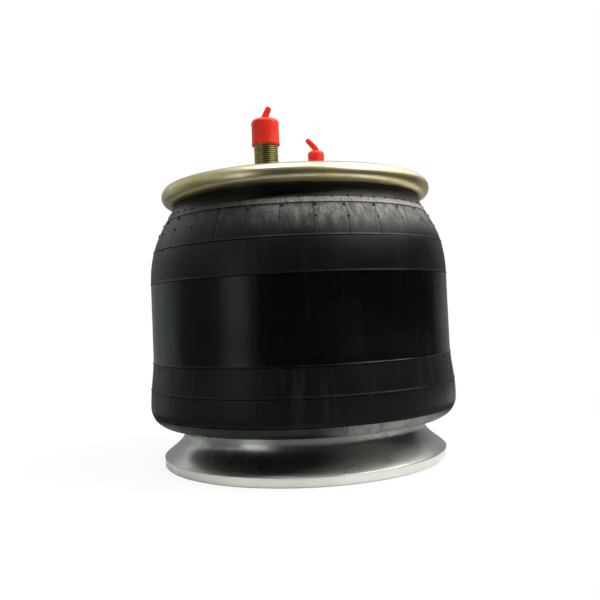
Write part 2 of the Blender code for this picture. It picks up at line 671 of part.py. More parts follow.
def build_bolt(steel):
    """Centre bolt with its two washers and its nut."""
    shank = ring_of_corners(BOLT_DIAMETER / 2, SMALL_FACETS)
    head_top = BOLT_HEAD_BASE + BOLT_HEAD_HEIGHT
    head_middle = BOLT_HEAD_BASE + BOLT_HEAD_HEIGHT / 2
    bolt = prism("piston_bolt", hexagon(BOLT_HEAD_ACROSS_FLATS), BOLT_HEAD_BASE, head_top, steel)
    combine(bolt, prism("bolt_shank_guide", shank, BOLT_END, head_middle, None), "UNION")
    tube(
        "piston_bolt_head_washer",
        BOLT_HOLE_RADIUS,
        WASHER_DIAMETER / 2,
        HEAD_WASHER_BASE,
        HEAD_WASHER_BASE + WASHER_THICKNESS,
        steel,
    )
    washer_low = NUT_WASHER_TOP - WASHER_THICKNESS
    tube("piston_bolt_washer", BOLT_HOLE_RADIUS, WASHER_DIAMETER / 2, washer_low, NUT_WASHER_TOP, steel)
    nut = prism("piston_bolt_nut", hexagon(BOLT_HEAD_ACROSS_FLATS), NUT_TOP - NUT_HEIGHT, NUT_TOP, steel)
    bore = ring_of_corners(BOLT_HOLE_RADIUS, SMALL_FACETS)
    cut = prism("nut_bore_guide", bore, NUT_TOP - 2 * NUT_HEIGHT, NUT_TOP + NUT_HEIGHT, None)
    combine(nut, cut, "DIFFERENCE")


def main():
    clear_scene()
    rubber = finish("black_rubber", (0.018, 0.020, 0.019), 0.55, 0.0)
    stop_rubber = finish("bump_rubber", (0.03, 0.03, 0.03), 0.7, 0.0)
    zinc = finish("yellow_zinc", (0.62, 0.55, 0.33), 0.35, 1.0)
    stud_zinc = finish("stud_zinc", (0.50, 0.43, 0.22), 0.35, 1.0)
    aluminium = finish("cast_aluminium", (0.42, 0.43, 0.43), 0.45, 1.0)
    vinyl = finish("red_vinyl", (0.75, 0.03, 0.015), 0.3, 0.0)
    steel = finish("plain_steel", (0.55, 0.56, 0.58), 0.35, 1.0)
    wire_steel = finish("bead_wire_steel", (0.50, 0.42, 0.30), 0.4, 1.0)

    build_piston(aluminium)
    build_thread_inserts(steel)
    build_end_closure(steel)
    build_bump_stop(stop_rubber, steel)
    build_bolt(steel)
    build_bellows(rubber)
    lower_wire_height = CLOSURE_BASE + BEAD_HEIGHT / 2
    build_bead_wire("lower_bead_wire", BEAD_CIRCLE_DIAMETER / 2, lower_wire_height, wire_steel)
    build_bead_wire("upper_bead_wire", upper_wire_radius(), ROLL_CENTRE[1], wire_steel)
    build_bead_plate(zinc)
    build_studs(stud_zinc)
    build_cap(
        "combo_stud_cap",
        COMBO_STUD_PLACE,
        COMBO_STUD_DIAMETER,
        COMBO_CAP_LENGTH,
        COMBO_TAB_LENGTH,
        COMBO_TAB_LEAN_DEGREES,
        vinyl,
    )
    build_cap(
        "plain_stud_cap",
        PLAIN_STUD_PLACE,
        PLAIN_STUD_DIAMETER,
        PLAIN_CAP_LENGTH,
        PLAIN_TAB_LENGTH,
        PLAIN_TAB_LEAN_DEGREES,
        vinyl,
    )


main()
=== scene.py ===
"""Dressed model of an air bellows actuator, built round the fixed frame of its solids.

Every length is in metres unless a name says otherwise. The base of the piston stands on z = 0,
+Z points up to the bead plate and the camera looks along +Y.
"""

import logging
import math
from collections.abc import Callable
from dataclasses import dataclass, field
from enum import Enum
from functools import partial, reduce

import bpy
from mathutils import Matrix, Vector


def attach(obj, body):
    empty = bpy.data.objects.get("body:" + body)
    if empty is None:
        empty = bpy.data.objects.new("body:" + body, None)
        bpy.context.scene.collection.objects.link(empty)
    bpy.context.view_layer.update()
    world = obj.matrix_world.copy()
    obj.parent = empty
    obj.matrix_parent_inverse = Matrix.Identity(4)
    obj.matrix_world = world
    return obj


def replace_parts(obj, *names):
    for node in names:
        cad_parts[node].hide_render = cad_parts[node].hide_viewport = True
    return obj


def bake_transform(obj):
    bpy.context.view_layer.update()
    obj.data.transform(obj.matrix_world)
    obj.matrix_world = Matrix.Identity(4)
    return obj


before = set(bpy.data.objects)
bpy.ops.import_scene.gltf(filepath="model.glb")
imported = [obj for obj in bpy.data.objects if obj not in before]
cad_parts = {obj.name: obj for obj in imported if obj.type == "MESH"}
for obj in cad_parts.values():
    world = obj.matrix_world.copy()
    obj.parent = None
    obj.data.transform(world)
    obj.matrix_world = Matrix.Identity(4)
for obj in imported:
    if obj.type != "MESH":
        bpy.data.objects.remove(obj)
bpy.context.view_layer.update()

LOG = logging.getLogger("bellows")
MM = 0.001
REST_PLACE = "rest_place"
GROOVE = "groove"
RINGS_PER_MM = 1.1
METAL = {"Metallic": 1.0}

Point = tuple[float, float]
Triple = tuple[float, float, float]
Line = list[Point]
Piece = bpy.types.Object
Socket = bpy.types.NodeSocket
Value = Socket | float | tuple[float, ...]


class Merge(Enum):
    """What becomes of a solid that meets another one."""

    JOIN = "UNION"
    CUT = "DIFFERENCE"
    COMMON = "INTERSECT"


class Body(Enum):
    """The moving bodies of the frame."""

    PISTON = "piston"
    LOBE = "lobe"
    PLATE = "bead_plate"
    COMBO_CAP = "combo_cap"
    PLAIN_CAP = "plain_cap"


class Slot(Enum):
    """The record's material slots."""

    RUBBER = "black_rubber"
    ZINC = "yellow_zinc"
    STUD = "stud_zinc"
    CASTING = "cast_aluminium"
    VINYL = "red_vinyl"


# Outlines


def arc(centre: Point, radii: Point, start: float, end: float, steps: int) -> Line:
    """Points of an elliptical arc in the (radius, height) plane, both ends included.

    Args:
        centre: Middle of the arc.
        radii: Half widths along the radius and the height.
        start: First angle in degrees, 0 pointing outwards.
        end: Last angle in degrees.
        steps: Number of straight steps.

    Returns:
        The points in order.
    """
    points = []
    for step in range(steps + 1):
        angle = math.radians(start + (end - start) * step / steps)
        points.append((centre[0] + radii[0] * math.cos(angle), centre[1] + radii[1] * math.sin(angle)))
    return points


def bezier(start: Point, start_handle: Point, end_handle: Point, end: Point, steps: int) -> Line:
    """Points of a cubic curve in the (radius, height) plane, both ends included.

    Args:
        start: First point.
        start_handle: Handle of the first point.
        end_handle: Handle of the last point.
        end: Last point.
        steps: Number of straight steps.

    Returns:
        The points in order.
    """
    points = []
    for step in range(steps + 1):
        t = step / steps
        weights = ((1 - t) ** 3, 3 * t * (1 - t) ** 2, 3 * t * t * (1 - t), t**3)
        corners = (start, start_handle, end_handle, end)
        points.append(tuple(sum(w * c[axis] for w, c in zip(weights, corners)) for axis in (0, 1)))
    return points


def sideways(line: Line, distance: float) -> Line:
    """Move an open line to the right of its direction of travel.

    Args:
        line: Points in order.
        distance: How far to move them.

    Returns:
        The moved points.
    """
    moved = []
    for index, point in enumerate(line):
        before = Vector(line[max(index - 1, 0)])
        after = Vector(line[min(index + 1, len(line) - 1)])
        along = (after - before).normalized()
        moved.append((point[0] + distance * along.y, point[1] - distance * along.x))
    return moved


def with_marks(line: Line, heights: tuple[float, ...], mark: Line) -> Line:
    """Put a mould mark on a line that runs downwards, at several heights.

    Args:
        line: Points from the top down.
        heights: Height of the middle of each mark.
        mark: Points of (height from the middle, distance outwards), from the top down.

    Returns:
        The line with the points of each mark in place of its own points there.
    """
    top, foot = mark[0][0], mark[-1][0]
    kept = [p for p in line if not any(foot < p[1] - h < top for h in heights)]
    added = []
    for middle in heights:
        for rise, out in mark:
            height = middle + rise
            added.append((radius_at(line, height) + out, height))
    return sorted(kept + added, key=lambda point: -point[1])


def scatter(first: float, second: float) -> float:
    """Give a fixed number from 0 to 1 that looks random, for two whole numbers.

    Args:
        first: One number.
        second: Another number.

    Returns:
        The fixed number.
    """
    value = math.sin(12.9898 * first + 78.233 * second) * 43758.5453
    return value - math.floor(value)


def radius_at(line: Line, height: float) -> float:
    """Radius of a line that runs downwards, at a height.

    Args:
        line: Points from the top down.
        height: Where to measure.

    Returns:
        The radius.
    """
    for (r0, z0), (r1, z1) in zip(line, line[1:]):
        if z1 <= height <= z0 and z0 > z1:
            return r0 + (r1 - r0) * (z0 - height) / (z0 - z1)
    return line[0][0] if height > line[0][1] else line[-1][0]


# Mesh operators


def deselect() -> None:
    """Leave nothing selected."""
    if bpy.context.object and bpy.context.object.mode != "OBJECT":
        bpy.ops.object.mode_set(mode="OBJECT")
    bpy.ops.object.select_all(action="DESELECT")


def pick(piece: Piece) -> None:
    """Make one object the only selected and active one.

    Args:
        piece: The object.
    """
    deselect()
    piece.select_set(True)
    bpy.context.view_layer.objects.active = piece


def named(name: str) -> Piece:
    """Name the active object and its mesh, and return it.

    Args:
        name: The name.

    Returns:
        The object.
    """
    piece = bpy.context.object
    piece.name = name
    piece.data.name = name
    return piece


def settle(piece: Piece) -> Piece:
    """Bring the object's origin to the frame's origin, its place kept in its mesh.

    Args:
        piece: The object, with a place, turn or scale.

    Returns:
        The same object.
    """
    pick(piece)
    bpy.ops.object.transform_apply(location=True, rotation=True, scale=True)
    return piece


def smooth(piece: Piece, degrees: float = 32.0) -> Piece:
    """Shade smooth across every edge that turns less than an angle.

    Args:
        piece: The piece.
        degrees: The angle.

    Returns:
        The piece.
    """
    pick(piece)
    bpy.ops.object.shade_smooth_by_angle(angle=math.radians(degrees))
    return piece


def edit_faces(piece: Piece, wanted: Callable[[bpy.types.MeshPolygon], bool]) -> None:
    """Enter edit mode with only the wanted faces selected.

    Args:
        piece: The piece to edit.
        wanted: Tells whether a face is wanted.
    """
    pick(piece)
    bpy.ops.object.mode_set(mode="EDIT")
    bpy.ops.mesh.select_mode(type="FACE")
    bpy.ops.mesh.select_all(action="DESELECT")
    bpy.ops.object.mode_set(mode="OBJECT")
    for face in piece.data.polygons:
        face.select = wanted(face)
    bpy.ops.object.mode_set(mode="EDIT")


def lone_point(name: str, place: Point) -> Piece:
    """Start a piece as one selected point, and stay in edit mode to draw on from there.

    Args:
        name: Name of the piece.
        place: Radius and height of the point.

    Returns:
        The piece.
    """
    deselect()
    bpy.ops.mesh.primitive_plane_add(size=MM)
    piece = named(name)
    bpy.ops.object.mode_set(mode="EDIT")
    bpy.ops.mesh.select_mode(type="VERT")
    bpy.ops.mesh.select_all(action="SELECT")
    bpy.ops.mesh.merge(type="CENTER")
    bpy.ops.transform.translate(value=(place[0], 0.0, place[1]))
    return piece


def turned(name: str, line: Line, steps: int, closed: bool = True) -> Piece:
    """Draw an outline point by point and spin it about +Z.

    Args:
        name: Name of the piece.
        line: Points of (radius, height).
        steps: Number of steps round the axis.
        closed: Join the last point to the first, as for a ring.

    Returns:
        The finished solid of revolution.
    """
    points = list(line) + ([line[0]] if closed else [])
    piece = lone_point(name, points[0])
    for (r0, z0), (r1, z1) in zip(points, points[1:]):
        bpy.ops.mesh.extrude_region_move(TRANSFORM_OT_translate={"value": (r1 - r0, 0.0, z1 - z0)})
    bpy.ops.mesh.select_all(action="SELECT")
    bpy.ops.mesh.remove_doubles(threshold=1e-6)
    bpy.ops.mesh.spin(steps=steps, angle=math.tau, center=(0, 0, 0), axis=(0, 0, 1))
    bpy.ops.mesh.select_all(action="SELECT")
    bpy.ops.mesh.remove_doubles(threshold=2e-6)
    bpy.ops.mesh.normals_make_consistent(inside=False)
    bpy.ops.object.mode_set(mode="OBJECT")
    return piece


def rod(name: str, radius: float, low: float, high: float, place: Point, sides: int) -> Piece:
    """Add an upright cylinder between two heights.

    Args:
        name: Name of the cylinder.
        radius: Its radius.
        low: Height of its foot.
        high: Height of its top.
        place: Its axis in the (x, y) plane.
        sides: Number of sides.

    Returns:
        The cylinder.
    """
    deselect()
    middle = (place[0], place[1], (low + high) / 2)
    bpy.ops.mesh.primitive_cylinder_add(vertices=sides, radius=radius, depth=high - low, location=middle)
    return settle(named(name))


def block(name: str, size: Triple, middle: Triple) -> Piece:
    """Add a box of a size round a middle point.

    Args:
        name: Name of the box.
        size: Its size along X, Y and Z.
        middle: Its middle.

    Returns:
        The box.
    """
    deselect()
    bpy.ops.mesh.primitive_cube_add(size=1.0, location=middle)
    piece = named(name)
    piece.scale = size
    return settle(piece)


def bevel(piece: Piece, width: float, segments: int = 2, degrees: float = 40.0) -> Piece:
    """Round every edge sharper than an angle.

    Args:
        piece: The piece.
        width: Width of the rounding.
        segments: Steps across it.
        degrees: The angle.

    Returns:
        The piece.
    """
    pick(piece)
    bpy.ops.object.modifier_add(type="BEVEL")
    modifier = piece.modifiers[-1]
    modifier.width = width
    modifier.segments = segments
    modifier.limit_method = "ANGLE"
    modifier.angle_limit = math.radians(degrees)
    modifier.use_clamp_overlap = True
    bpy.ops.object.modifier_apply(modifier=modifier.name)
    return piece


def meet(piece: Piece, tool: Piece, how: Merge) -> Piece:
    """Join, cut or intersect a piece with a tool, which is then removed.

    Args:
        piece: The solid that stays.
        tool: The solid that is used up.
        how: What the two make.

    Returns:
        The piece.
    """
    pick(piece)
    bpy.ops.object.modifier_add(type="BOOLEAN")
    modifier = piece.modifiers[-1]
    modifier.operation = how.value
    modifier.solver = "EXACT"
    modifier.object = tool
    bpy.ops.object.modifier_apply(modifier=modifier.name)
    bpy.data.objects.remove(tool, do_unlink=True)
    return piece


def unite(name: str, parts: list[Piece]) -> Piece:
    """Join several objects into one mesh, each kept as its own shell.

    Args:
        name: Name of the mesh.
        parts: The objects, used up.

    Returns:
        The joined object.
    """
    deselect()
    for part in parts:
        part.select_set(True)
    bpy.context.view_layer.objects.active = parts[0]
    bpy.ops.object.join()
    return named(name)


def ripple(piece: Piece, size: float, strength: float, group: str = "") -> Piece:
    """Move a surface in and out by a soft cloud pattern.

    Args:
        piece: The piece to ripple.
        size: Rough size of a wave.
        strength: Height from trough to crest.
        group: Vertex group that limits it, or nothing.

    Returns:
        The piece.
    """
    pick(piece)
    clouds = bpy.data.textures.new(f"{piece.name}_clouds", type="CLOUDS")
    clouds.noise_scale = size
    bpy.ops.object.modifier_add(type="DISPLACE")
    modifier = piece.modifiers[-1]
    modifier.texture = clouds
    modifier.texture_coords = "LOCAL"
    modifier.strength = strength
    modifier.mid_level = 0.5
    modifier.vertex_group = group
    bpy.ops.object.modifier_apply(modifier=modifier.name)
    return piece


def keep_rest_place(piece: Piece) -> Piece:
    """Store each point's place at rest, so that a pattern stays on a surface that stretches.

    Args:
        piece: The piece.

    Returns:
        The piece.
    """
    mesh = piece.data
    places = [0.0] * (3 * len(mesh.vertices))
    mesh.vertices.foreach_get("co", places)
    mesh.attributes.new(REST_PLACE, "FLOAT_VECTOR", "POINT").data.foreach_set("vector", places)
    return piece


def dress(piece: Piece, material: bpy.types.Material) -> Piece:
    """Give a piece its material.

    Args:
        piece: The piece.
        material: Its material.

    Returns:
        The piece.
    """
    piece.data.materials.clear()
    piece.data.materials.append(material)
    return piece


def report(piece: Piece) -> None:
    """Log a finished piece and its number of faces."""
    LOG.info("%s: %d faces", piece.name, len(piece.data.polygons))


# Shader building


@dataclass
class Sheet:
    """A node tree with short ways to add and link nodes."""

    tree: bpy.types.NodeTree

    def add(self, kind: str, **settings: object) -> bpy.types.Node:
        """Add a node.

        Args:
            kind: Type of the node.
            settings: Properties to set on it.

        Returns:
            The node.
        """
        node = self.tree.nodes.new(kind)
        for key, value in settings.items():
            setattr(node, key, value)
        return node

    def feed(self, socket: Socket, value: Value) -> None:
        """Link an output to a socket, or write a constant to it.

        Args:
            socket: The input to feed.
            value: An output, or a constant. A colour constant may leave out its opacity.
        """
        if isinstance(value, Socket):
            self.tree.links.new(value, socket)
        elif socket.type == "RGBA" and len(value) == 3:
            socket.default_value = (*value, 1.0)
        else:
            socket.default_value = value

    def filled(self, kind: str, values: tuple[Value, ...], **settings: object) -> Socket:
        """Add a node, feed its first inputs in order and return its first output.

        Args:
            kind: Type of the node.
            values: What its inputs get.
            settings: Properties to set on it.

        Returns:
            The node's first output.
        """
        node = self.add(kind, **settings)
        for socket, value in zip(node.inputs, values):
            self.feed(socket, value)
        return node.outputs[0]

    def math(self, operation: str, *values: Value) -> Socket:
        """Add a math node and return its result."""
        return self.filled("ShaderNodeMath", values, operation=operation)

    def times(self, *values: Value) -> Socket:
        """Multiply several values."""
        return reduce(partial(self.math, "MULTIPLY"), values)

    def plus(self, *values: Value) -> Socket:
        """Add several values."""
        return reduce(partial(self.math, "ADD"), values)

    def most(self, *values: Value) -> Socket:
        """Give the largest of several values."""
        return reduce(partial(self.math, "MAXIMUM"), values)

    def minus(self, first: Value, second: Value) -> Socket:
        """Subtract one value from another."""
        return self.math("SUBTRACT", first, second)

    def weigh(self, *terms: tuple[Socket, float]) -> Socket:
        """Add up several values, each times its own weight."""
        return self.plus(*(self.times(value, weight) for value, weight in terms))

    def ramp(self, value: Value, low: Value, high: Value, start: float = 0.0, end: float = 1.0) -> Socket:
        """Map a value smoothly from one range to another, clamped at both ends.

        Args:
            value: The value to map.
            low: Value that gives the start.
            high: Value that gives the end.
            start: Result at the low value.
            end: Result at the high value.

        Returns:
            The mapped value.
        """
        values = (value, low, high, start, end)
        return self.filled("ShaderNodeMapRange", values, interpolation_type="SMOOTHSTEP")

    def spread(self, pattern: Socket, start: float, end: float) -> Socket:
        """Map the usual range of a noise pattern to another range."""
        return self.ramp(pattern, 0.3, 0.7, start, end)

    def mix(self, share: Value, first: Value, second: Value) -> Socket:
        """Mix two colours.

        Args:
            share: Share of the second colour.
            first: First colour.
            second: Second colour.

        Returns:
            The mixed colour.
        """
        node = self.add("ShaderNodeMix", data_type="RGBA")
        for index, value in ((0, share), (6, first), (7, second)):
            self.feed(node.inputs[index], value)
        return node.outputs[2]

    def noise(self, place: Socket, scale: Value, detail: float) -> Socket:
        """Add a noise texture.

        Args:
            place: Where to read the noise.
            scale: Waves per metre.
            detail: Number of finer layers.

        Returns:
            The noise's value.
        """
        node = self.add("ShaderNodeTexNoise")
        for key, value in (("Vector", place), ("Scale", scale), ("Detail", detail)):
            self.feed(node.inputs[key], value)
        return node.outputs[0]

    def streaks(self, place: Socket, across: float, along: float, detail: float) -> Socket:
        """Add a noise that is drawn out along +Z.

        Args:
            place: Where to read the noise.
            across: Waves per metre round the axis.
            along: Waves per metre of height.
            detail: Number of finer layers.

        Returns:
            The noise's value.
        """
        node = self.add("ShaderNodeMapping")
        self.feed(node.inputs["Vector"], place)
        node.inputs["Scale"].default_value = (across, across, along)
        return self.noise(node.outputs[0], 1.0, detail)

    def rings(self, around: bpy.types.bpy_prop_collection) -> Socket:
        """Give the fine rings that a turning tool leaves.

        Args:
            around: Outputs of the round place group.

        Returns:
            The height of the rings.
        """
        feeds = tuple(self.times(around[key], RINGS_PER_MM) for key in ("Radius", "Height"))
        return self.noise(self.filled("ShaderNodeCombineXYZ", feeds), 1.0, 2.0)

    def group(self, tree: bpy.types.NodeTree, **values: Value) -> bpy.types.bpy_prop_collection:
        """Place a node group.

        Args:
            tree: The group.
            values: What its inputs get, by name with underscores for spaces.

        Returns:
            The group's outputs.
        """
        node = self.add("ShaderNodeGroup", node_tree=tree)
        for key, value in values.items():
            self.feed(node.inputs[key.replace("_", " ")], value)
        return node.outputs


class Paint(Sheet):
    """The node tree of one material, with its Principled shader at hand."""

    def __init__(self, name: str, shown: Triple) -> None:
        """Start a material.

        Args:
            name: Name of the material.
            shown: Its plain colour in the viewport.
        """
        self.material = bpy.data.materials.new(name)
        self.material.use_nodes = True
        self.material.diffuse_color = (*shown, 1.0)
        super().__init__(self.material.node_tree)
        self.shader = self.tree.nodes["Principled BSDF"]
        self.output = self.tree.nodes["Material Output"]

    def place(self) -> Socket:
        """Give the object coordinates."""
        return self.add("ShaderNodeTexCoord").outputs["Object"]

    def glow(self) -> Socket:
        """Give a plain white emission."""
        return self.filled("ShaderNodeEmission", ((1.0, 1.0, 1.0),))

    def finish(
        self, colour: Socket, roughness: Socket, rise: Socket, strength: float, constants: dict[str, Value]
    ) -> bpy.types.Material:
        """Feed the shader.

        Args:
            colour: The base colour.
            roughness: The roughness.
            rise: Height of the relief in millimetres.
            strength: Strength of the relief.
            constants: Values of other sockets, by name.

        Returns:
            The material.
        """
        bump = self.add("ShaderNodeBump")
        bump.inputs["Strength"].default_value = strength
        bump.inputs["Distance"].default_value = MM
        self.feed(bump.inputs["Height"], rise)
        fed = {"Base Color": colour, "Roughness": roughness, "Normal": bump.outputs[0]}
        for key, value in {**fed, **constants}.items():
            self.feed(self.shader.inputs[key], value)
        return self.material


def new_group(
    name: str, inputs: dict[str, float | None], outputs: tuple[str, ...]
) -> tuple[Sheet, bpy.types.Node, bpy.types.Node]:
    """Start a shader node group.

    Args:
        name: Name of the group.
        inputs: Default value of each input by name; a vector has None.
        outputs: Names of the outputs, which are all values.

    Returns:
        The group's sheet, its input node and its output node.
    """
    tree = bpy.data.node_groups.new(name, "ShaderNodeTree")
    for key, value in inputs.items():
        kind = "NodeSocketVector" if value is None else "NodeSocketFloat"
        socket = tree.interface.new_socket(name=key, in_out="INPUT", socket_type=kind)
        if value is not None:
            socket.default_value = value
    for key in outputs:
        tree.interface.new_socket(name=key, in_out="OUTPUT", socket_type="NodeSocketFloat")
    sheet = Sheet(tree)
    return sheet, sheet.add("NodeGroupInput"), sheet.add("NodeGroupOutput")


def build_round_place() -> bpy.types.NodeTree:
    """Group that gives the bearing in degrees from -Y, the radius and the height in millimetres.

    Returns:
        The group.
    """
    sheet, given, result = new_group("round place", {"Place": None}, ("Bearing", "Radius", "Height"))
    split = sheet.add("ShaderNodeSeparateXYZ")
    sheet.feed(split.inputs[0], given.outputs["Place"])
    x, y, z = split.outputs
    bearing = sheet.math("DEGREES", sheet.math("ARCTAN2", x, sheet.times(y, -1.0)))
    radius = sheet.math("SQRT", sheet.plus(sheet.times(x, x), sheet.times(y, y)))
    sheet.feed(result.inputs["Bearing"], bearing)
    sheet.feed(result.inputs["Radius"], sheet.times(radius, 1 / MM))
    sheet.feed(result.inputs["Height"], sheet.times(z, 1 / MM))
    return sheet.tree


def build_repeat_line() -> bpy.types.NodeTree:
    """Group that masks a thin line at every step of a value.

    Returns:
        The group.
    """
    inputs = {"Value": 0.0, "Offset": 0.0, "Pitch": 12.0, "Half width": 0.4}
    sheet, given, result = new_group("repeat line", inputs, ("Mask",))
    value, offset, pitch, half_width = given.outputs[:4]
    shares = sheet.math("DIVIDE", sheet.minus(value, offset), pitch)
    near = sheet.minus(shares, sheet.math("ROUND", shares))
    away = sheet.times(sheet.math("ABSOLUTE", near), pitch)
    sheet.feed(result.inputs["Mask"], sheet.ramp(away, 0.0, half_width, 1.0, 0.0))
    return sheet.tree


def build_band() -> bpy.types.NodeTree:
    """Group that is 1 between two values and fades out over an edge.

    Returns:
        The group.
    """
    inputs = {"Value": 0.0, "Low": 0.0, "High": 1.0, "Edge": 0.5}
    sheet, given, result = new_group("band", inputs, ("Mask",))
    value, low, high, edge = given.outputs[:4]
    rising = sheet.ramp(value, sheet.minus(low, edge), sheet.plus(low, edge))
    falling = sheet.ramp(value, sheet.minus(high, edge), sheet.plus(high, edge), 1.0, 0.0)
    sheet.feed(result.inputs["Mask"], sheet.times(rising, falling))
    return sheet.tree


def build_mottle() -> bpy.types.NodeTree:
    """Group that gives a fine, a middle and a broad soft pattern.

    Returns:
        The group.
    """
    inputs = {"Place": None, "Fine": 900.0, "Middle": 140.0, "Broad": 22.0}
    sheet, given, result = new_group("mottle", inputs, ("Fine", "Middle", "Broad"))
    for key, detail in (("Fine", 4.0), ("Middle", 3.0), ("Broad", 2.0)):
        pattern = sheet.noise(given.outputs["Place"], given.outputs[key], detail)
        sheet.feed(result.inputs[key], pattern)
    return sheet.tree


@dataclass
class Effects:
    """The shared effects, each built once."""

    round_place: bpy.types.NodeTree = field(default_factory=build_round_place)
    repeat_line: bpy.types.NodeTree = field(default_factory=build_repeat_line)
    band: bpy.types.NodeTree = field(default_factory=build_band)
    mottle: bpy.types.NodeTree = field(default_factory=build_mottle)


# Finishes


@dataclass(frozen=True)
class MouldBand:
    """A band of the mould, with upright seams. Heights in millimetres, seams in degrees."""

    low: float
    high: float
    edge: float = 0.3
    seam: float = 0.0
    seam_half_width: float = 0.3
    seam_pitch: float = 12.0

    def mask(self, sheet: Sheet, effects: Effects, height: Socket) -> Socket:
        """Mask the band's own heights."""
        return sheet.group(effects.band, Value=height, Low=self.low, High=self.high, Edge=self.edge)["Mask"]

    def seams(self, sheet: Sheet, effects: Effects, bearing: Socket) -> Socket:
        """Mask the band's seams at every height.

        Args:
            sheet: Where the nodes go.
            effects: The shared node groups.
            bearing: The bearing in degrees.

        Returns:
            The mask.
        """
        sizes = {"Offset": self.seam, "Pitch": self.seam_pitch, "Half_width": self.seam_half_width}
        return sheet.group(effects.repeat_line, Value=bearing, **sizes)["Mask"]


@dataclass(frozen=True)
class MouldedRubber:
    """Black sleeve rubber with mould lines, a lap splice, soft smears and scuffs, with painted highlights
    on its lit front and painted shade in its seams, splice cleft and neck.

    Bearings are in degrees from -Y, heights in millimetres.
    """

    dark: Triple = (0.0018, 0.0026, 0.0020)
    smeared: Triple = (0.0070, 0.0095, 0.0078)
    pressed: Triple = (0.0010, 0.0012, 0.0010)
    painted_shade: Triple = (0.0012, 0.0013, 0.0012)
    chalk_and_highlight: Triple = (0.170, 0.177, 0.170)
    worn_and_highlight: Triple = (0.200, 0.190, 0.180)
    bloom_and_highlight: Triple = (0.34, 0.325, 0.305)
    roughness: float = 0.41
    panel_roughness: float = 0.25
    specular: float = 0.21
    splice_bearing: float = -29.6
    splice_width: float = 0.95
    lit_from: Point = (-26.0, 20.0)
    lit_to: Point = (70.0, 120.0)
    highlight_heights: Point = (178.0, 197.0)
    dust_and_highlight_from: Point = (2.0, 24.0)
    dust_and_highlight_to: Point = (38.0, 66.0)
    top: MouldBand = MouldBand(176.6, 200.4, seam=6.4)
    low: MouldBand = MouldBand(43.4, 85.0, seam=9.2, seam_half_width=0.24)
    fold: MouldBand = MouldBand(20.0, 42.6, seam=1.4)
    collar: MouldBand = MouldBand(201.0, 205.2, seam=-3.2, seam_half_width=0.12)
    panel: MouldBand = MouldBand(85.6, 149.8, edge=0.6)

    def build(self, effects: Effects) -> bpy.types.Material:
        """Build the material on the stored rest places.

        Args:
            effects: The shared node groups.

        Returns:
            The material.
        """
        sheet = Paint("sleeve rubber", self.dark)
        place = sheet.add("ShaderNodeAttribute", attribute_name=REST_PLACE).outputs["Vector"]
        around = sheet.group(effects.round_place, Place=place)
        bearing, height = around["Bearing"], around["Height"]
        mottle = sheet.group(effects.mottle, Place=place)
        streak = sheet.streaks(place, 190.0, 9.0, 4.0)
        smear = sheet.streaks(place, 26.0, 7.0, 3.0)
        hair = sheet.streaks(place, 800.0, 45.0, 3.0)
        seamed = (self.top, self.low, self.fold, self.collar)
        masks = [band.mask(sheet, effects, height) for band in seamed]
        top, _, fold, collar = masks
        panel = self.panel.mask(sheet, effects, height)
        neck = sheet.ramp(height, self.collar.high - 0.4, self.collar.high + 0.8)
        lines = [band.seams(sheet, effects, bearing) for band in seamed]
        seams = sheet.most(*(sheet.times(mask, line) for mask, line in zip(masks, lines)))
        lip = sheet.math("ABSOLUTE", sheet.minus(bearing, self.splice_bearing + self.splice_width))
        lap = sheet.times(top, sheet.ramp(lip, 0.05, 0.40, 1.0, 0.0))
        middle = sheet.math("ABSOLUTE", sheet.minus(bearing, self.splice_bearing))
        cleft = sheet.times(top, sheet.ramp(middle, 0.50, 0.90, 1.0, 0.0))
        smears = sheet.times(sheet.ramp(streak, 0.45, 0.75), sheet.ramp(smear, 0.35, 0.7))

        colour = sheet.mix(smears, self.dark, self.smeared)
        colour = sheet.mix(sheet.times(panel, 0.8), colour, self.pressed)
        # Chalky dust on the fold, kept to its right front as a painted highlight where the light falls; the
        # same pale colour lightens the lap's edge.
        colour = sheet.mix(self.dust_and_highlight(sheet, bearing, streak, fold), colour, self.chalk_and_highlight)
        # Painted highlight on the lit front of the upper shoulder and collar, mixed with real scuff streaks.
        lit_part = sheet.ramp(bearing, *self.lit_from, 0.10, 1.0)
        lit_part = sheet.times(lit_part, sheet.ramp(bearing, *self.lit_to, 1.0, 0.10))
        upper_shoulder = sheet.times(sheet.most(top, collar), sheet.ramp(height, *self.highlight_heights))
        scuffs = sheet.ramp(streak, 0.32, 0.66, 0.25, 1.0)
        scuffs = sheet.times(scuffs, sheet.ramp(hair, 0.36, 0.62, 0.45, 1.0))
        colour = sheet.mix(sheet.times(upper_shoulder, scuffs, lit_part), colour, self.worn_and_highlight)
        # Whitish bloom on the collar, kept to its lit front as a painted highlight.
        bloom_and_highlight = sheet.times(collar, lit_part, sheet.ramp(hair, 0.30, 0.62, 0.3, 0.8))
        colour = sheet.mix(bloom_and_highlight, colour, self.bloom_and_highlight)
        colour = sheet.mix(sheet.times(lap, 0.08), colour, self.chalk_and_highlight)
        # Painted shade along the mould seams, in the splice cleft and on the neck under the plate's rim.
        shaded_lines = sheet.most(sheet.times(seams, 0.7), cleft, neck)
        colour = sheet.mix(shaded_lines, colour, self.painted_shade)

        rough = sheet.spread(mottle["Broad"], self.roughness - 0.03, self.roughness + 0.04)
        flatter = self.panel_roughness - self.roughness
        changes = ((panel, flatter), (smears, 0.10), (sheet.most(seams, cleft), 0.25), (neck, -0.10))
        rough = sheet.plus(rough, sheet.weigh(*changes))
        patterns = ((mottle["Fine"], 0.05), (mottle["Middle"], 0.09), (streak, 0.06), (hair, 0.03))
        marks = ((seams, 0.25), (lap, 0.18), (cleft, -0.12))
        rise = sheet.weigh(*patterns, *marks)
        return sheet.finish(colour, rough, rise, 0.85, {"Specular IOR Level": self.specular})

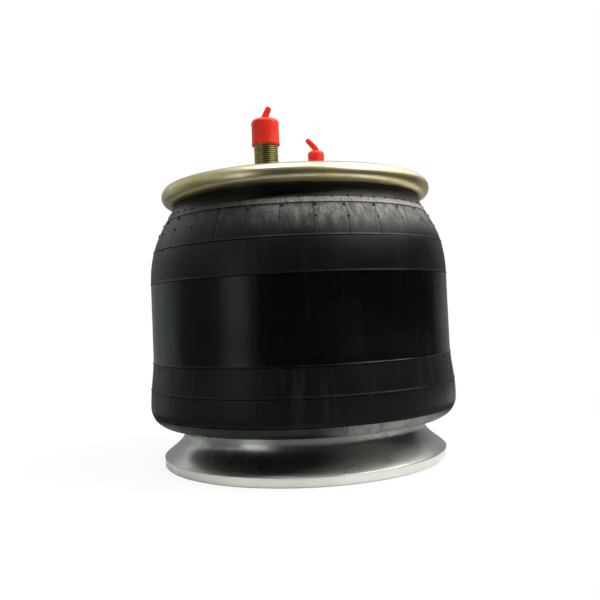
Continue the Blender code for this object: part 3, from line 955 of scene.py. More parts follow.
    def dust_and_highlight(self, sheet: Sheet, bearing: Socket, streak: Socket, fold: Socket) -> Socket:
        """Mask the chalky dust and painted highlight on the right front of the fold, where the light falls.

        Args:
            sheet: Where the nodes go.
            bearing: The bearing in degrees.
            streak: Pattern that breaks up the dust.
            fold: Mask of the fold.

        Returns:
            The mask.
        """
        front = sheet.ramp(bearing, *self.dust_and_highlight_from)
        front = sheet.times(front, sheet.ramp(bearing, *self.dust_and_highlight_to, 1.0, 0.0))
        return sheet.times(sheet.ramp(streak, 0.25, 0.6, 0.55, 1.0), fold, front)


@dataclass(frozen=True)
class PlainRubber:
    """Rubber without mould lines, for the nubs, the bump stop, the seal and the inner wall."""

    name: str
    colour: Triple
    roughness: float

    def build(self, effects: Effects) -> bpy.types.Material:
        """Build the material on object coordinates.

        Args:
            effects: The shared node groups.

        Returns:
            The material.
        """
        sheet = Paint(self.name, self.colour)
        mottle = sheet.group(effects.mottle, Place=sheet.place())
        paler = tuple(1.7 * channel for channel in self.colour)
        colour = sheet.mix(mottle["Broad"], self.colour, paler)
        rough = sheet.spread(mottle["Middle"], self.roughness - 0.06, self.roughness + 0.08)
        rise = sheet.weigh((mottle["Fine"], 0.08), (mottle["Middle"], 0.2))
        return sheet.finish(colour, rough, rise, 0.7, {})


@dataclass(frozen=True)
class YellowZinc:
    """Yellow passivated plating: straw and olive clouds, light scuffs, a rolled grain, a painted highlight on
    the top of the roll and painted shade in thread grooves.
    """

    name: str
    straw: Triple
    olive: Triple
    rosy: Triple
    roughness: float
    scuffs: float = 1.0
    crown: Triple = (0.48, 0.455, 0.395)
    groove_shade: Triple = (0.07, 0.06, 0.03)
    crown_height: float = 1000.0
    crown_edge: Point = (102.0, 108.0)

    def build(self, effects: Effects) -> bpy.types.Material:
        """Build the material on object coordinates.

        Args:
            effects: The shared node groups.

        Returns:
            The material.
        """
        sheet = Paint(self.name, self.straw)
        place = sheet.place()
        around = sheet.group(effects.round_place, Place=place)
        mottle = sheet.group(effects.mottle, Place=place, Fine=1400.0, Middle=220.0, Broad=34.0)
        grain = sheet.streaks(place, 420.0, 60.0, 3.0)
        colour = sheet.mix(sheet.ramp(mottle["Broad"], 0.30, 0.72), self.straw, self.olive)
        colour = sheet.mix(sheet.ramp(sheet.noise(place, 11.0, 2.0), 0.48, 0.66, 0.0, 0.7), colour, self.rosy)
        dirt = sheet.ramp(mottle["Middle"], 0.55, 0.85, 0.0, 0.12)
        colour = sheet.mix(dirt, colour, tuple(0.6 * channel for channel in self.olive))
        # Painted highlight: the top of the rolled rim is creamier and lighter, where the light falls on it.
        lit_part = sheet.ramp(around["Height"], self.crown_height - 2.0, self.crown_height + 2.0, 0.0, 0.8)
        lit_part = sheet.times(lit_part, sheet.ramp(around["Radius"], *self.crown_edge))
        colour = sheet.mix(lit_part, colour, self.crown)
        # Painted shade in the thread grooves, darkest at their roots.
        groove = sheet.add("ShaderNodeAttribute", attribute_name=GROOVE).outputs["Fac"]
        colour = sheet.mix(sheet.ramp(groove, 0.25, 0.9, 0.0, 0.85), colour, self.groove_shade)
        rough = sheet.ramp(mottle["Broad"], 0.3, 0.75, self.roughness - 0.03, self.roughness + 0.06)
        rough = sheet.plus(rough, sheet.ramp(grain, 0.5, 0.8, 0.0, 0.06))
        heights = ((mottle["Middle"], 0.007), (grain, 0.005), (mottle["Fine"], 0.002))
        rise = sheet.weigh(*((pattern, height * self.scuffs) for pattern, height in heights))
        return sheet.finish(colour, rough, rise, 0.6, METAL)


@dataclass(frozen=True)
class CastAluminium:
    """Satin casting skin with a turned band and a turned base. Heights and radii in millimetres."""

    light: Triple = (0.50, 0.505, 0.49)
    dull: Triple = (0.38, 0.385, 0.37)
    turned_face: Triple = (0.70, 0.70, 0.67)
    roughness: float = 0.29
    band_top: float = 6.9
    band_edge: Point = (106.0, 107.0)

    def build(self, effects: Effects) -> bpy.types.Material:
        """Build the material on object coordinates.

        Args:
            effects: The shared node groups.

        Returns:
            The material.
        """
        sheet = Paint("cast aluminium", self.light)
        place = sheet.place()
        around = sheet.group(effects.round_place, Place=place)
        mottle = sheet.group(effects.mottle, Place=place, Fine=1500.0, Middle=260.0, Broad=30.0)
        outer = sheet.ramp(around["Radius"], *self.band_edge)
        low = sheet.ramp(around["Height"], self.band_top - 0.25, self.band_top + 0.05, 1.0, 0.0)
        base = sheet.ramp(around["Height"], 0.05, 0.3, 1.0, 0.0)
        machined = sheet.most(sheet.times(outer, low), base)
        skin = sheet.mix(sheet.spread(mottle["Broad"], 0.0, 1.0), self.light, self.dull)
        stain = sheet.ramp(mottle["Middle"], 0.45, 0.85, 0.0, 0.24)
        skin = sheet.mix(stain, skin, tuple(0.5 * channel for channel in self.dull))
        colour = sheet.mix(machined, skin, self.turned_face)
        rough = sheet.spread(mottle["Broad"], self.roughness - 0.04, self.roughness + 0.05)
        rough = sheet.plus(rough, sheet.times(machined, 0.02))
        cast = sheet.weigh((mottle["Fine"], 0.008), (mottle["Middle"], 0.012))
        cast = sheet.times(cast, sheet.minus(1.0, machined))
        rise = sheet.plus(cast, sheet.times(sheet.rings(around), 0.006, machined))
        return sheet.finish(colour, rough, rise, 0.7, METAL)


@dataclass(frozen=True)
class DippedVinyl:
    """Soft red dip-moulded vinyl with a faint orange cast where it is thin."""

    deep: Triple = (0.70, 0.018, 0.008)
    bright: Triple = (0.84, 0.030, 0.011)
    roughness: float = 0.42
    specular: float = 0.3
    depth: Triple = (0.004, 0.001, 0.0005)

    def build(self, effects: Effects) -> bpy.types.Material:
        """Build the material on object coordinates.

        Args:
            effects: The shared node groups.

        Returns:
            The material.
        """
        sheet = Paint("red vinyl", self.bright)
        mottle = sheet.group(effects.mottle, Place=sheet.place(), Fine=1200.0, Middle=300.0, Broad=90.0)
        colour = sheet.mix(sheet.spread(mottle["Broad"], 0.0, 1.0), self.bright, self.deep)
        rough = sheet.spread(mottle["Middle"], self.roughness - 0.05, self.roughness + 0.1)
        constants = {
            "Specular IOR Level": self.specular,
            "Subsurface Weight": 0.15,
            "Subsurface Radius": self.depth,
            "Subsurface Scale": 1.0,
        }
        return sheet.finish(colour, rough, sheet.times(mottle["Middle"], 0.03), 0.5, constants)


@dataclass(frozen=True)
class BrightSteel:
    """Bright plated or bare steel for the fasteners and the pressed closure."""

    name: str
    light: Triple
    dull: Triple
    roughness: float

    def build(self, effects: Effects) -> bpy.types.Material:
        """Build the material on object coordinates.

        Args:
            effects: The shared node groups.

        Returns:
            The material.
        """
        sheet = Paint(self.name, self.light)
        place = sheet.place()
        mottle = sheet.group(effects.mottle, Place=place, Fine=1600.0, Middle=320.0, Broad=60.0)
        rings = sheet.rings(sheet.group(effects.round_place, Place=place))
        colour = sheet.mix(sheet.ramp(mottle["Broad"], 0.35, 0.7), self.light, self.dull)
        rough = sheet.spread(mottle["Middle"], self.roughness - 0.06, self.roughness + 0.1)
        rise = sheet.weigh((rings, 0.03), (mottle["Middle"], 0.05))
        return sheet.finish(colour, rough, rise, 0.6, METAL)


PLATE_ZINC = YellowZinc(
    "yellow zinc", (0.66, 0.585, 0.38), (0.49, 0.44, 0.20), (0.60, 0.485, 0.31), 0.35, crown_height=228.0
)
STUD_ZINC = YellowZinc(
    "stud zinc", (0.56, 0.50, 0.30), (0.44, 0.40, 0.21), (0.54, 0.44, 0.26), 0.36, scuffs=0.0
)


@dataclass
class Finishes:
    """Every material of the object, built once."""

    effects: Effects = field(default_factory=Effects)

    def __post_init__(self) -> None:
        """Build the materials."""
        chosen = {
            "rubber": MouldedRubber(),
            "inner_rubber": PlainRubber("inner rubber", (0.014, 0.015, 0.014), 0.6),
            "nub_rubber": PlainRubber("nub rubber", (0.0016, 0.0018, 0.0016), 0.78),
            "bump_rubber": PlainRubber("bump rubber", (0.022, 0.022, 0.021), 0.7),
            "zinc": PLATE_ZINC,
            "stud_zinc": STUD_ZINC,
            "aluminium": CastAluminium(),
            "vinyl": DippedVinyl(),
            "steel": BrightSteel("bright steel", (0.60, 0.61, 0.62), (0.40, 0.41, 0.43), 0.34),
            "wire": BrightSteel("bead wire", (0.52, 0.42, 0.28), (0.34, 0.26, 0.16), 0.38),
        }
        for key, finish in chosen.items():
            setattr(self, key, finish.build(self.effects))


# Sub-assemblies


@dataclass(frozen=True)
class NubRow:
    """A row of vent nubs: height in metres, bearings in degrees and its share of the full nub size."""

    height: float
    offset: float
    pitch: float
    size: float


@dataclass
class RolledSleeve:
    """Rubber sleeve: bead, shoulder, body, fold and the wall that lies on the piston."""

    wall: float = 6.5 * MM
    neck: Point = (104.9 * MM, 213.5 * MM)
    neck_handle: float = 16.0 * MM
    neck_slope: float = 68.0
    body_radius: float = 125.5 * MM
    body_top: float = 149.0 * MM
    body_handle: float = 38.0 * MM
    flare: float = 46.0 * MM
    flare_handle: float = 18.4 * MM
    lobe_radius: float = 129.0 * MM
    lobe_height: float = 49.0 * MM
    lobe_drop: float = 15.5 * MM
    contact: float = 101.6 * MM
    roll_centre: Point = (106.3 * MM, 223.0 * MM)
    bead_radius: float = 4.9 * MM
    ridges: tuple[float, ...] = (176.2 * MM, 150.2 * MM, 85.2 * MM, 63.6 * MM)
    ridge: tuple[Point, ...] = (
        (1.00 * MM, 0.0),
        (0.30 * MM, 0.40 * MM),
        (0.05 * MM, 0.42 * MM),
        (-0.15 * MM, -0.30 * MM),
        (-0.45 * MM, -0.30 * MM),
        (-0.75 * MM, 0.0),
    )
    partings: tuple[float, ...] = (200.8 * MM,)
    parting: tuple[Point, ...] = (
        (0.55 * MM, 0.05 * MM),
        (0.30 * MM, -0.55 * MM),
        (-0.30 * MM, -0.60 * MM),
        (-0.60 * MM, 0.22 * MM),
        (-1.30 * MM, 0.0),
    )
    creases: tuple[float, ...] = (43.0 * MM,)
    crease: tuple[Point, ...] = (
        (0.6 * MM, 0.0),
        (0.2 * MM, -0.6 * MM),
        (-0.2 * MM, -0.6 * MM),
        (-0.6 * MM, 0.0),
    )
    sag: Point = (70 * MM, 1.0 * MM)
    peel: Point = (14 * MM, 0.22 * MM)
    fade_top: float = 14 * MM
    fade_foot: float = 12 * MM
    steps: int = 180
    deck: float = 122.0 * MM
    deck_gap: float = 0.3 * MM
    lower_bead: Triple = (66.0 * MM, 82.0 * MM, 8.4 * MM)
    piston_corner: Point = (88.0 * MM, 112.0 * MM)
    corner_reach: float = 10.3 * MM
    nub_radius: float = 1.25 * MM
    nub_stray: Point = (1.2, 0.8 * MM)
    nub_depth: float = 0.45
    nub_height: float = 1.25
    nub_rows: tuple[NubRow, ...] = (
        NubRow(198.6 * MM, 6.4, 12.0, 1.20),
        NubRow(189.8 * MM, 6.6, 12.0, 0.84),
        NubRow(205.2 * MM, 2.0, 6.0, 0.80),
        NubRow(174.6 * MM, 0.4, 12.0, 0.55),
        NubRow(61.9 * MM, 9.2, 12.0, 0.55),
        NubRow(83.5 * MM, 3.2, 12.0, 0.50),
    )

    def outside(self) -> Line:
        """Outer line from the neck down to the widest point of the fold.

        Returns:
            Points from the top down.
        """
        slope = math.radians(self.neck_slope)
        handle = (
            self.neck[0] + self.neck_handle * math.cos(slope),
            self.neck[1] - self.neck_handle * math.sin(slope),
        )
        foot = self.lobe_height + self.flare
        shoulder = bezier(
            self.neck,
            handle,
            (self.body_radius, self.body_top + self.body_handle),
            (self.body_radius, self.body_top),
            36,
        )
        body = [(self.body_radius, self.body_top + (foot - self.body_top) * k / 12) for k in range(1, 12)]
        flare = bezier(
            (self.body_radius, foot),
            (self.body_radius, foot - self.flare_handle),
            (self.lobe_radius, self.lobe_height + self.flare_handle),
            (self.lobe_radius, self.lobe_height),
            20,
        )
        return shoulder + body + flare

    def fold(self, inset: float, steps: int) -> Line:
        """Half ellipse of the fold, from its widest point round to the piston.

        Args:
            inset: Distance from the outer skin.
            steps: Number of straight steps.

        Returns:
            Points from the outside in.
        """
        half = (self.lobe_radius - self.contact) / 2
        centre = (self.contact + half, self.lobe_height)
        return arc(centre, (half - inset, self.lobe_drop - inset), 0, -180, steps)

    def outer_wall(self) -> Piece:
        """Bead, shoulder, body and fold in one skin with its mould ridges.

        Returns:
            The wall.
        """
        outside = self.outside()
        inside = sideways(outside, self.wall)
        inside[-1] = (self.lobe_radius - self.wall, self.lobe_height)
        skin = with_marks(outside, self.ridges, list(self.ridge))
        skin = with_marks(skin, self.partings, list(self.parting))
        fold = self.fold(0.0, 40)
        low = [p for p in fold if p[0] < self.lobe_radius - self.lobe_drop * 0.9]
        high = [p for p in fold if p not in low]
        high = with_marks(high + [low[0]], self.creases, list(self.crease))[:-1]
        start = math.degrees(math.acos((self.neck[0] - self.roll_centre[0]) / self.bead_radius))
        bead = arc(self.roll_centre, (self.bead_radius, self.bead_radius), 90, -start, 14)
        chamber = self.neck[0] - self.wall
        line = [(chamber, self.neck[1] + 4 * MM), (chamber, self.roll_centre[1] + self.bead_radius)] + bead
        line += skin[:-1] + high + low
        line += self.fold(self.wall, 16)[::-1] + inside[-2::-3]
        piece = turned("sleeve_outer_wall", line, self.steps)
        self.group_outside(piece)
        ripple(piece, *self.sag, "outside")
        ripple(piece, *self.peel, "outside")
        return smooth(piece, 40)

    def group_outside(self, piece: Piece) -> None:
        """Group the points of the visible skin, weaker towards the bead and the piston.

        Args:
            piece: The outer wall.
        """
        group = piece.vertex_groups.new(name="outside")
        for vertex in piece.data.vertices:
            radius = math.hypot(vertex.co.x, vertex.co.y)
            height = vertex.co.z
            skin = self.skin_radius(height)
            if radius > skin - 0.6 * self.wall and height < self.neck[1]:
                below = min(1.0, (self.neck[1] - height) / self.fade_top)
                beyond = min(1.0, max(0.0, radius - self.contact) / self.fade_foot)
                group.add([vertex.index], below * beyond, "REPLACE")

    def skin_radius(self, height: float) -> float:
        """Radius of the outer line at a height."""
        return radius_at(self.outside(), height) if height > self.lobe_height else 0.0

    def inner_wall(self) -> Piece:
        """Wall that lies on the piston's side and over its shoulder to the lower bead.

        Returns:
            The wall.
        """
        near, far = self.corner_reach, self.corner_reach + self.wall
        inner, outer, height = self.lower_bead
        seat = self.deck + self.deck_gap
        line = [(self.contact, self.lobe_height)] + arc(self.piston_corner, (near, near), 0, 90, 8)
        line += [(inner, seat), (inner, seat + height), (outer, seat + height)]
        line += arc(self.piston_corner, (far, far), 90, 0, 8) + [(self.contact + self.wall, self.lobe_height)]
        return smooth(turned("sleeve_inner_wall", line, 96))

    def nubs(self) -> Piece:
        """Trimmed vent nubs along the mould lines, one model copied round.

        Returns:
            All nubs in one mesh.
        """
        deselect()
        bpy.ops.mesh.primitive_uv_sphere_add(segments=8, ring_count=6, radius=self.nub_radius)
        model = named("vent_nub")
        copies = []
        for number, row in enumerate(self.nub_rows):
            for index in range(round(360 / row.pitch)):
                wobble = scatter(index + 1, number)
                turn, rise = self.nub_stray
                bearing = math.radians(row.offset + row.pitch * index + turn * (wobble - 0.5))
                level = row.height + rise * (wobble - 0.5)
                radius = self.skin_radius(level)
                nub = model.copy()
                nub.data = model.data.copy()
                bpy.context.collection.objects.link(nub)
                nub.location = (radius * math.sin(bearing), -radius * math.cos(bearing), level)
                nub.rotation_euler.z = bearing
                width = row.size * (0.8 + 0.4 * wobble)
                nub.scale = (width, self.nub_depth * width, self.nub_height * width)
                copies.append(settle(nub))
        bpy.data.objects.remove(model, do_unlink=True)
        return smooth(unite("sleeve_vent_nubs", copies), 80)

    def build(self, finishes: Finishes) -> None:
        """Build, dress and place the sleeve's three pieces.

        Args:
            finishes: The materials.
        """
        outer, inner, nubs = self.outer_wall(), self.inner_wall(), self.nubs()
        for piece, material in ((outer, finishes.rubber), (nubs, finishes.nub_rubber)):
            dress(keep_rest_place(piece), material)
            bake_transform(piece)
        dress(keep_rest_place(inner), finishes.inner_rubber)
        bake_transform(inner)
        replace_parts(outer, "bellows")
        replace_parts(inner, "bellows")
        for piece in (outer, inner, nubs):
            report(piece)


@dataclass
class CrimpedPlate:
    """Pressed bead plate whose edge is rolled round the sleeve's bead."""

    top: float = 231.0 * MM
    thickness: float = 2.8 * MM
    centre: Point = (106.3 * MM, 223.0 * MM)
    radius: float = 8.0 * MM
    lip: float = -98.0
    stud_places: tuple[Triple, ...] = ()
    steps: int = 192

    def build(self, finishes: Finishes) -> None:
        """Turn the plate, cut the stud holes and dress it.

        Args:
            finishes: The materials.
        """
        inner = self.radius - self.thickness
        outside = arc(self.centre, (self.radius, self.radius), 90, self.lip, 30)
        half = self.thickness / 2
        angle, reach = math.radians(self.lip), self.radius - half
        middle = (self.centre[0] + reach * math.cos(angle), self.centre[1] + reach * math.sin(angle))
        edge = arc(middle, (half, half), self.lip, self.lip - 180, 6)[1:-1]
        inside = arc(self.centre, (inner, inner), self.lip, 90, 20)
        flat = [(0.0, self.top)] + [(self.centre[0] * k / 8, self.top) for k in range(1, 8)]
        under = [(self.centre[0] * k / 4, self.top - self.thickness) for k in range(3, -1, -1)]
        plate = turned("bead_plate_shell", flat + outside + edge + inside + under, self.steps, closed=False)
        low, high = self.top - 3 * self.thickness, self.top + self.thickness
        for index, (x, y, radius) in enumerate(self.stud_places):
            drill = rod(f"stud_drill_{index}", radius, low, high, (x, y), 48)
            meet(plate, drill, Merge.CUT)
        smooth(plate, 32)
        dress(plate, finishes.zinc)
        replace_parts(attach(plate, Body.PLATE.value), "bead_plate")
        report(plate)


@dataclass
class ThreadedStud:
    """Headed stud with a cut thread and, on the air inlet stud, a smooth stepped port."""

    name: str
    node: str
    place: Point
    radius: float
    pitch: float
    head_radius: float
    port_radius: float = 0.0
    port_depth: float = 15.0 * MM
    airway_radius: float = 4.0 * MM
    top: float = 273.0 * MM
    seat: float = 227.9 * MM
    head: float = 4.5 * MM
    chamfer: float = 1.2 * MM
    head_rim: float = 0.5 * MM
    depth_per_pitch: float = 0.61
    profile: tuple[Point, ...] = ((0.0, 0.12), (1.0, 0.38), (0.0, 0.12), (-1.0, 0.38))
    facets: int = 40

    def helix(self, radius: float, pitch: float, depth: float, low: float, high: float) -> Piece:
        """Screw thread surface, cut off level and closed at both ends.

        Args:
            radius: Outside radius.
            pitch: Distance between two crests.
            depth: Depth of the thread.
            low: Height of the lower cut.
            high: Height of the upper cut.

        Returns:
            The threaded bar.
        """
        bar = lone_point(f"{self.name}_thread", (radius - depth, low - 1.5 * pitch))
        for dr, dz in self.profile:
            bpy.ops.mesh.extrude_region_move(TRANSFORM_OT_translate={"value": (dr * depth, 0.0, dz * pitch)})
        bpy.ops.object.mode_set(mode="OBJECT")
        bpy.ops.object.modifier_add(type="SCREW")
        screw = bar.modifiers[-1]
        screw.steps = screw.render_steps = self.facets
        screw.screw_offset = pitch
        screw.iterations = math.ceil((high - low) / pitch) + 3
        screw.use_merge_vertices = True
        bpy.ops.object.modifier_apply(modifier=screw.name)
        bpy.ops.object.mode_set(mode="EDIT")
        bpy.ops.mesh.select_all(action="SELECT")
        bpy.ops.mesh.remove_doubles(threshold=2e-6)
        for height, keep_above in ((low, True), (high, False)):
            bpy.ops.mesh.select_all(action="SELECT")
            bpy.ops.mesh.bisect(
                plane_co=(0, 0, height),
                plane_no=(0, 0, 1),
                use_fill=True,
                clear_inner=keep_above,
                clear_outer=not keep_above,
            )
        bpy.ops.mesh.select_all(action="SELECT")
        bpy.ops.mesh.normals_make_consistent(inside=False)
        bpy.ops.object.mode_set(mode="OBJECT")
        return bar

    def envelope(self) -> Line:
        """Outline that trims the thread: chamfered end, shank and bore.

        Returns:
            The outline, closed when the stud has a port.
        """
        out = self.radius + 0.1 * MM
        low = self.seat - self.head / 2
        line = [(self.radius - self.chamfer, self.top), (out, self.top - self.chamfer), (out, low)]
        if not self.port_radius:
            return [(0.0, self.top)] + line + [(0.0, low)]
        shelf = self.top - self.port_depth
        line += [(self.airway_radius, low), (self.airway_radius, shelf)]
        cone = shelf + self.port_radius - self.airway_radius
        line += [(self.port_radius, cone), (self.port_radius, self.top)]
        return line

    def build(self, finishes: Finishes) -> None:
        """Cut the thread, join the head and dress the stud.

        Args:
            finishes: The materials.
        """
        depth = self.depth_per_pitch * self.pitch
        bar = self.helix(self.radius, self.pitch, depth, self.seat - self.head * 0.75, self.top + self.pitch)
        trim = turned(f"{self.name}_trim", self.envelope(), 48, closed=bool(self.port_radius))
        meet(bar, trim, Merge.COMMON)
        bore = self.airway_radius if self.port_radius else 0.0
        ends = (self.seat, self.seat - self.head)
        rim, edge = self.head_radius - self.head_rim, self.head_radius
        line = [(bore, ends[0]), (rim, ends[0]), (edge, ends[0] - self.head_rim)]
        line += [(edge, ends[1] + self.head_rim), (rim, ends[1]), (bore, ends[1])]
        head = turned(f"{self.name}_head", line, 48, closed=bool(bore))
        meet(bar, head, Merge.JOIN)
        bar.location = (self.place[0], self.place[1], 0.0)
        stud = settle(bar)
        stud.name = f"{self.name}_threaded"
        groove = stud.data.attributes.new(GROOVE, "FLOAT", "POINT")
        for vertex, value in zip(stud.data.vertices, groove.data):
            reach = math.hypot(vertex.co.x - self.place[0], vertex.co.y - self.place[1])
            value.value = min(max((self.radius - reach) / depth, 0.0), 1.0)
        smooth(stud, 30)
        dress(stud, finishes.stud_zinc)
        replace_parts(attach(stud, Body.PLATE.value), self.node)
        report(stud)


@dataclass
class DippedCap:
    """Vinyl cap over a stud's end: soft shoulders, a slack mouth and a pull tab."""

    name: str
    node: str
    body: Body
    place: Point
    inner: float
    length: float
    tab_length: float
    lean: float
    wall: float = 1.05 * MM
    top: float = 275.0 * MM
    ceiling: float = 273.3 * MM
    corner: float = 3.2 * MM
    tab_width: float = 4.9 * MM
    tab_thickness: float = 2.4 * MM
    bead: Point = (0.7 * MM, 0.65 * MM)

    def shell(self) -> Piece:
        """Turn the cap's cup with a thickened rim at its mouth.

        Returns:
            The cup.
        """
        outer = self.inner + self.wall
        mouth = self.top - self.length
        crown = arc((outer - self.corner, self.top - self.corner), (self.corner, self.corner), 90, 0, 10)
        waist = [
            (outer - 0.15 * MM, self.top - 0.45 * self.length),
            (outer - 0.05 * MM, mouth + 3.2 * MM),
            (outer + 0.10 * MM, mouth + 1.6 * MM),
        ]
        bead_place = (self.inner + self.wall / 2 + 0.05 * MM, mouth + self.bead[1])
        lip = arc(bead_place, self.bead, 0, -180, 8)
        line = [(0.0, self.top)] + [(outer * 0.3, self.top)] + crown + waist + lip
        line += [(self.inner, mouth + 1.5 * MM), (self.inner, self.ceiling), (0.0, self.ceiling)]
        cup = turned(self.name, line, 64, closed=False)
        return ripple(cup, 9 * MM, 0.12 * MM)

    def tab(self) -> Piece:
        """Extrude a flat tab that bends over at its root, narrows and ends round.

        Returns:
            The tab.
        """
        root = self.ceiling + 0.3 * MM
        lift = self.top - root + 0.5 * MM
        size = (self.tab_width * 1.2, self.tab_thickness * 1.1, lift)
        tab = block(f"{self.name}_tab", size, (0.0, 0.0, root + lift / 2))
        edit_faces(tab, lambda face: face.normal.z > 0.9)
        bends, straights = 4, 4
        run = (self.tab_length - 1.2 * MM) / (bends * 0.5 + straights)
        tip, angle = Vector((0.0, 0.0, root + lift)), 0.0
        for step in range(bends + straights):
            length = run * (0.5 if step < bends else 1.0)
            if step < bends:
                angle += math.radians(self.lean) / bends
            move = Vector((math.sin(angle), 0.0, math.cos(angle))) * length
            bpy.ops.mesh.extrude_region_move(TRANSFORM_OT_translate={"value": tuple(move)})
            tip += move
            if step < bends:
                bpy.ops.transform.rotate(
                    value=-math.radians(self.lean) / bends, orient_axis="Y", center_override=tuple(tip)
                )
            size = 0.80 if step == bends + straights - 1 else 0.965
            bpy.ops.transform.resize(value=(size, size, size), center_override=tuple(tip))
        bpy.ops.object.mode_set(mode="OBJECT")
        return bevel(tab, 0.6 * MM, 3, 50)

    def build(self, finishes: Finishes) -> None:
        """Join the tab to the cup, smooth them and dress the cap.

        Args:
            finishes: The materials.
        """
        cup = meet(self.shell(), self.tab(), Merge.JOIN)
        cup.location = (self.place[0], self.place[1], 0.0)
        cap = smooth(settle(cup), 50)
        cap.name = f"{self.name}_moulded"
        dress(cap, finishes.vinyl)
        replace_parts(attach(cap, self.body.value), self.node)
        report(cap)


@dataclass
class FlaredPiston:
    """Cast piston: tapered side, flared foot with a turned band, ribs, hub and mounting bosses."""

    height: float = 122.0 * MM
    wall: float = 6.0 * MM
    deck: float = 8.0 * MM
    flange: float = 119.3 * MM
    band: float = 7.0 * MM
    lip: float = 0.6 * MM
    slope: float = 40.0
    flare_handle: float = 9.0 * MM
    neck: Point = (101.7 * MM, 28.0 * MM)
    top_radius: float = 98.0 * MM
    shoulder: float = 10.0 * MM
    foot: float = 11.0 * MM
    bolt_hole: float = 8.3 * MM
    hub: Point = (20.0 * MM, 25.0 * MM)
    hub_foot: float = 12.0 * MM
    pad: float = 104.0 * MM
    rib: float = 5.0 * MM
    rib_foot: float = 14.0 * MM
    mount_circle: float = 69.85 * MM
    boss: float = 15.3 * MM
    hole: float = 8.8 * MM
    hole_depth: float = 25.1 * MM
    band_step: float = 0.35 * MM
    chamfer: float = 0.6 * MM
    edge: float = 0.8 * MM
    fillet: float = 5.0 * MM
    overlap: float = 2.0 * MM
    rib_flare: float = 1.35
    steps: int = 192

    def shell_line(self) -> Line:
        """Closed outline of the shell, bolt hole, side, flare, band and hollow underside.

        Returns:
            Points of (radius, height).
        """
        lip_centre = (self.flange - self.lip, self.band)
        slope = math.radians(self.slope)
        lip = arc(lip_centre, (self.lip, self.lip), 90 - self.slope, 0, 14)
        handle = (self.flare_handle * math.cos(slope), self.flare_handle * math.sin(slope))
        cove = bezier(
            self.neck,
            (self.neck[0], self.neck[1] - self.flare_handle),
            (lip[0][0] - handle[0], lip[0][1] + handle[1]),
            lip[0],
            22,
        )
        corner_place = (self.top_radius - self.shoulder, self.height - self.shoulder)
        round_over = arc(corner_place, (self.shoulder, self.shoulder), 90, 0, 10)
        side = self.flange - self.band_step
        band = [(side, self.band - 0.15 * MM), (side, self.chamfer), (side - self.chamfer, 0.0)]
        under = self.height - self.deck
        inner_top = self.top_radius - self.wall
        corner = arc((inner_top - self.deck, under - self.deck), (self.deck, self.deck), 0, 90, 8)
        line = [(self.bolt_hole, self.height)] + round_over + cove + lip[1:] + band
        line += [(self.flange - self.foot, 0.0), (self.neck[0] - self.wall, self.neck[1])] + corner
        return line + [(self.bolt_hole, under)]

    def core(self) -> Piece:
        """Hub with its pad, turned in one with a small fillet at its root.

        Returns:
            The hub.
        """
        root = self.height - self.deck + self.overlap
        bore, outer = self.hub
        reach = outer + self.fillet
        low = root - (self.overlap + self.fillet)
        fillet = arc((reach, low), (self.fillet, self.fillet), 180, 90, 5)
        line = [(self.bolt_hole, root), (reach, root)] + fillet[::-1]
        line += [(outer, self.hub_foot + self.edge), (outer - self.edge, self.hub_foot)]
        line += [(bore + self.edge, self.hub_foot), (bore, self.hub_foot + self.edge)]
        line += [(bore, self.pad), (self.bolt_hole, self.pad)]
        return turned("piston_core", line, 64)

    def rib_block(self, index: int) -> Piece:
        """One radial rib, thicker at its root and shaped to the tapered wall.

        Args:
            index: Number of the rib, counted round from +X.

        Returns:
            The rib.
        """
        inner, root = self.hub[1] - 2.5 * MM, self.height - self.deck + self.overlap
        outer = self.top_radius - self.wall / 2
        foot = self.neck[0] - self.wall / 2 + 3.0 * MM
        middle = ((inner + outer) / 2, 0.0, (self.rib_foot + root) / 2)
        rib = block(f"rib_{index}", (outer - inner, self.rib, root - self.rib_foot), middle)
        bpy.ops.object.mode_set(mode="EDIT")
        bpy.ops.mesh.select_all(action="SELECT")
        bpy.ops.mesh.bisect(plane_co=(0, 0, self.neck[1]), plane_no=(0, 0, 1))
        bpy.ops.object.mode_set(mode="OBJECT")
        for vertex in rib.data.vertices:
            if vertex.co.x > middle[0]:
                if vertex.co.z < self.rib_foot + MM:
                    vertex.co.x = foot
                elif vertex.co.z < self.neck[1] + MM:
                    vertex.co.x = self.neck[0] - self.wall / 2
                else:
                    vertex.co.x = self.top_radius - self.shoulder
            if vertex.co.z > root - MM:
                vertex.co.y *= self.rib_flare
        bevel(rib, 0.7 * MM, 2, 60)
        rib.rotation_euler.z = math.tau * index / 8
        return settle(rib)

    @staticmethod
    def rib_nodes() -> list[str]:
        """Names of the frame's ribs and posts, which the casting holds in one piece."""
        kinds = ("rib", "hub_rib", "skirt_rib", "mounting_post")
        return [f"{kind}_{index}" for kind in kinds for index in range(1, 5)]

    def build(self, finishes: Finishes) -> None:
        """Turn the shell, join the core, ribs and bosses, and drill the bosses.

        Args:
            finishes: The materials.
        """
        piston = turned("piston_casting", self.shell_line(), self.steps)
        root = self.height - self.deck + self.overlap
        meet(piston, self.core(), Merge.JOIN)
        for index in range(8):
            meet(piston, self.rib_block(index), Merge.JOIN)
        for index in range(4):
            bearing = math.radians(45 + 90 * index)
            place = (self.mount_circle * math.cos(bearing), self.mount_circle * math.sin(bearing))
            boss = bevel(rod(f"boss_{index}", self.boss, 0.0, root, place, 48), self.edge, 2, 60)
            meet(piston, boss, Merge.JOIN)
            drill = rod(f"drill_{index}", self.hole, -5 * MM, self.hole_depth, place, 40)
            meet(piston, drill, Merge.CUT)
        smooth(piston, 30)
        dress(piston, finishes.aluminium)
        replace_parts(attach(piston, Body.PISTON.value), "piston", "piston_hub", *self.rib_nodes())
        report(piston)


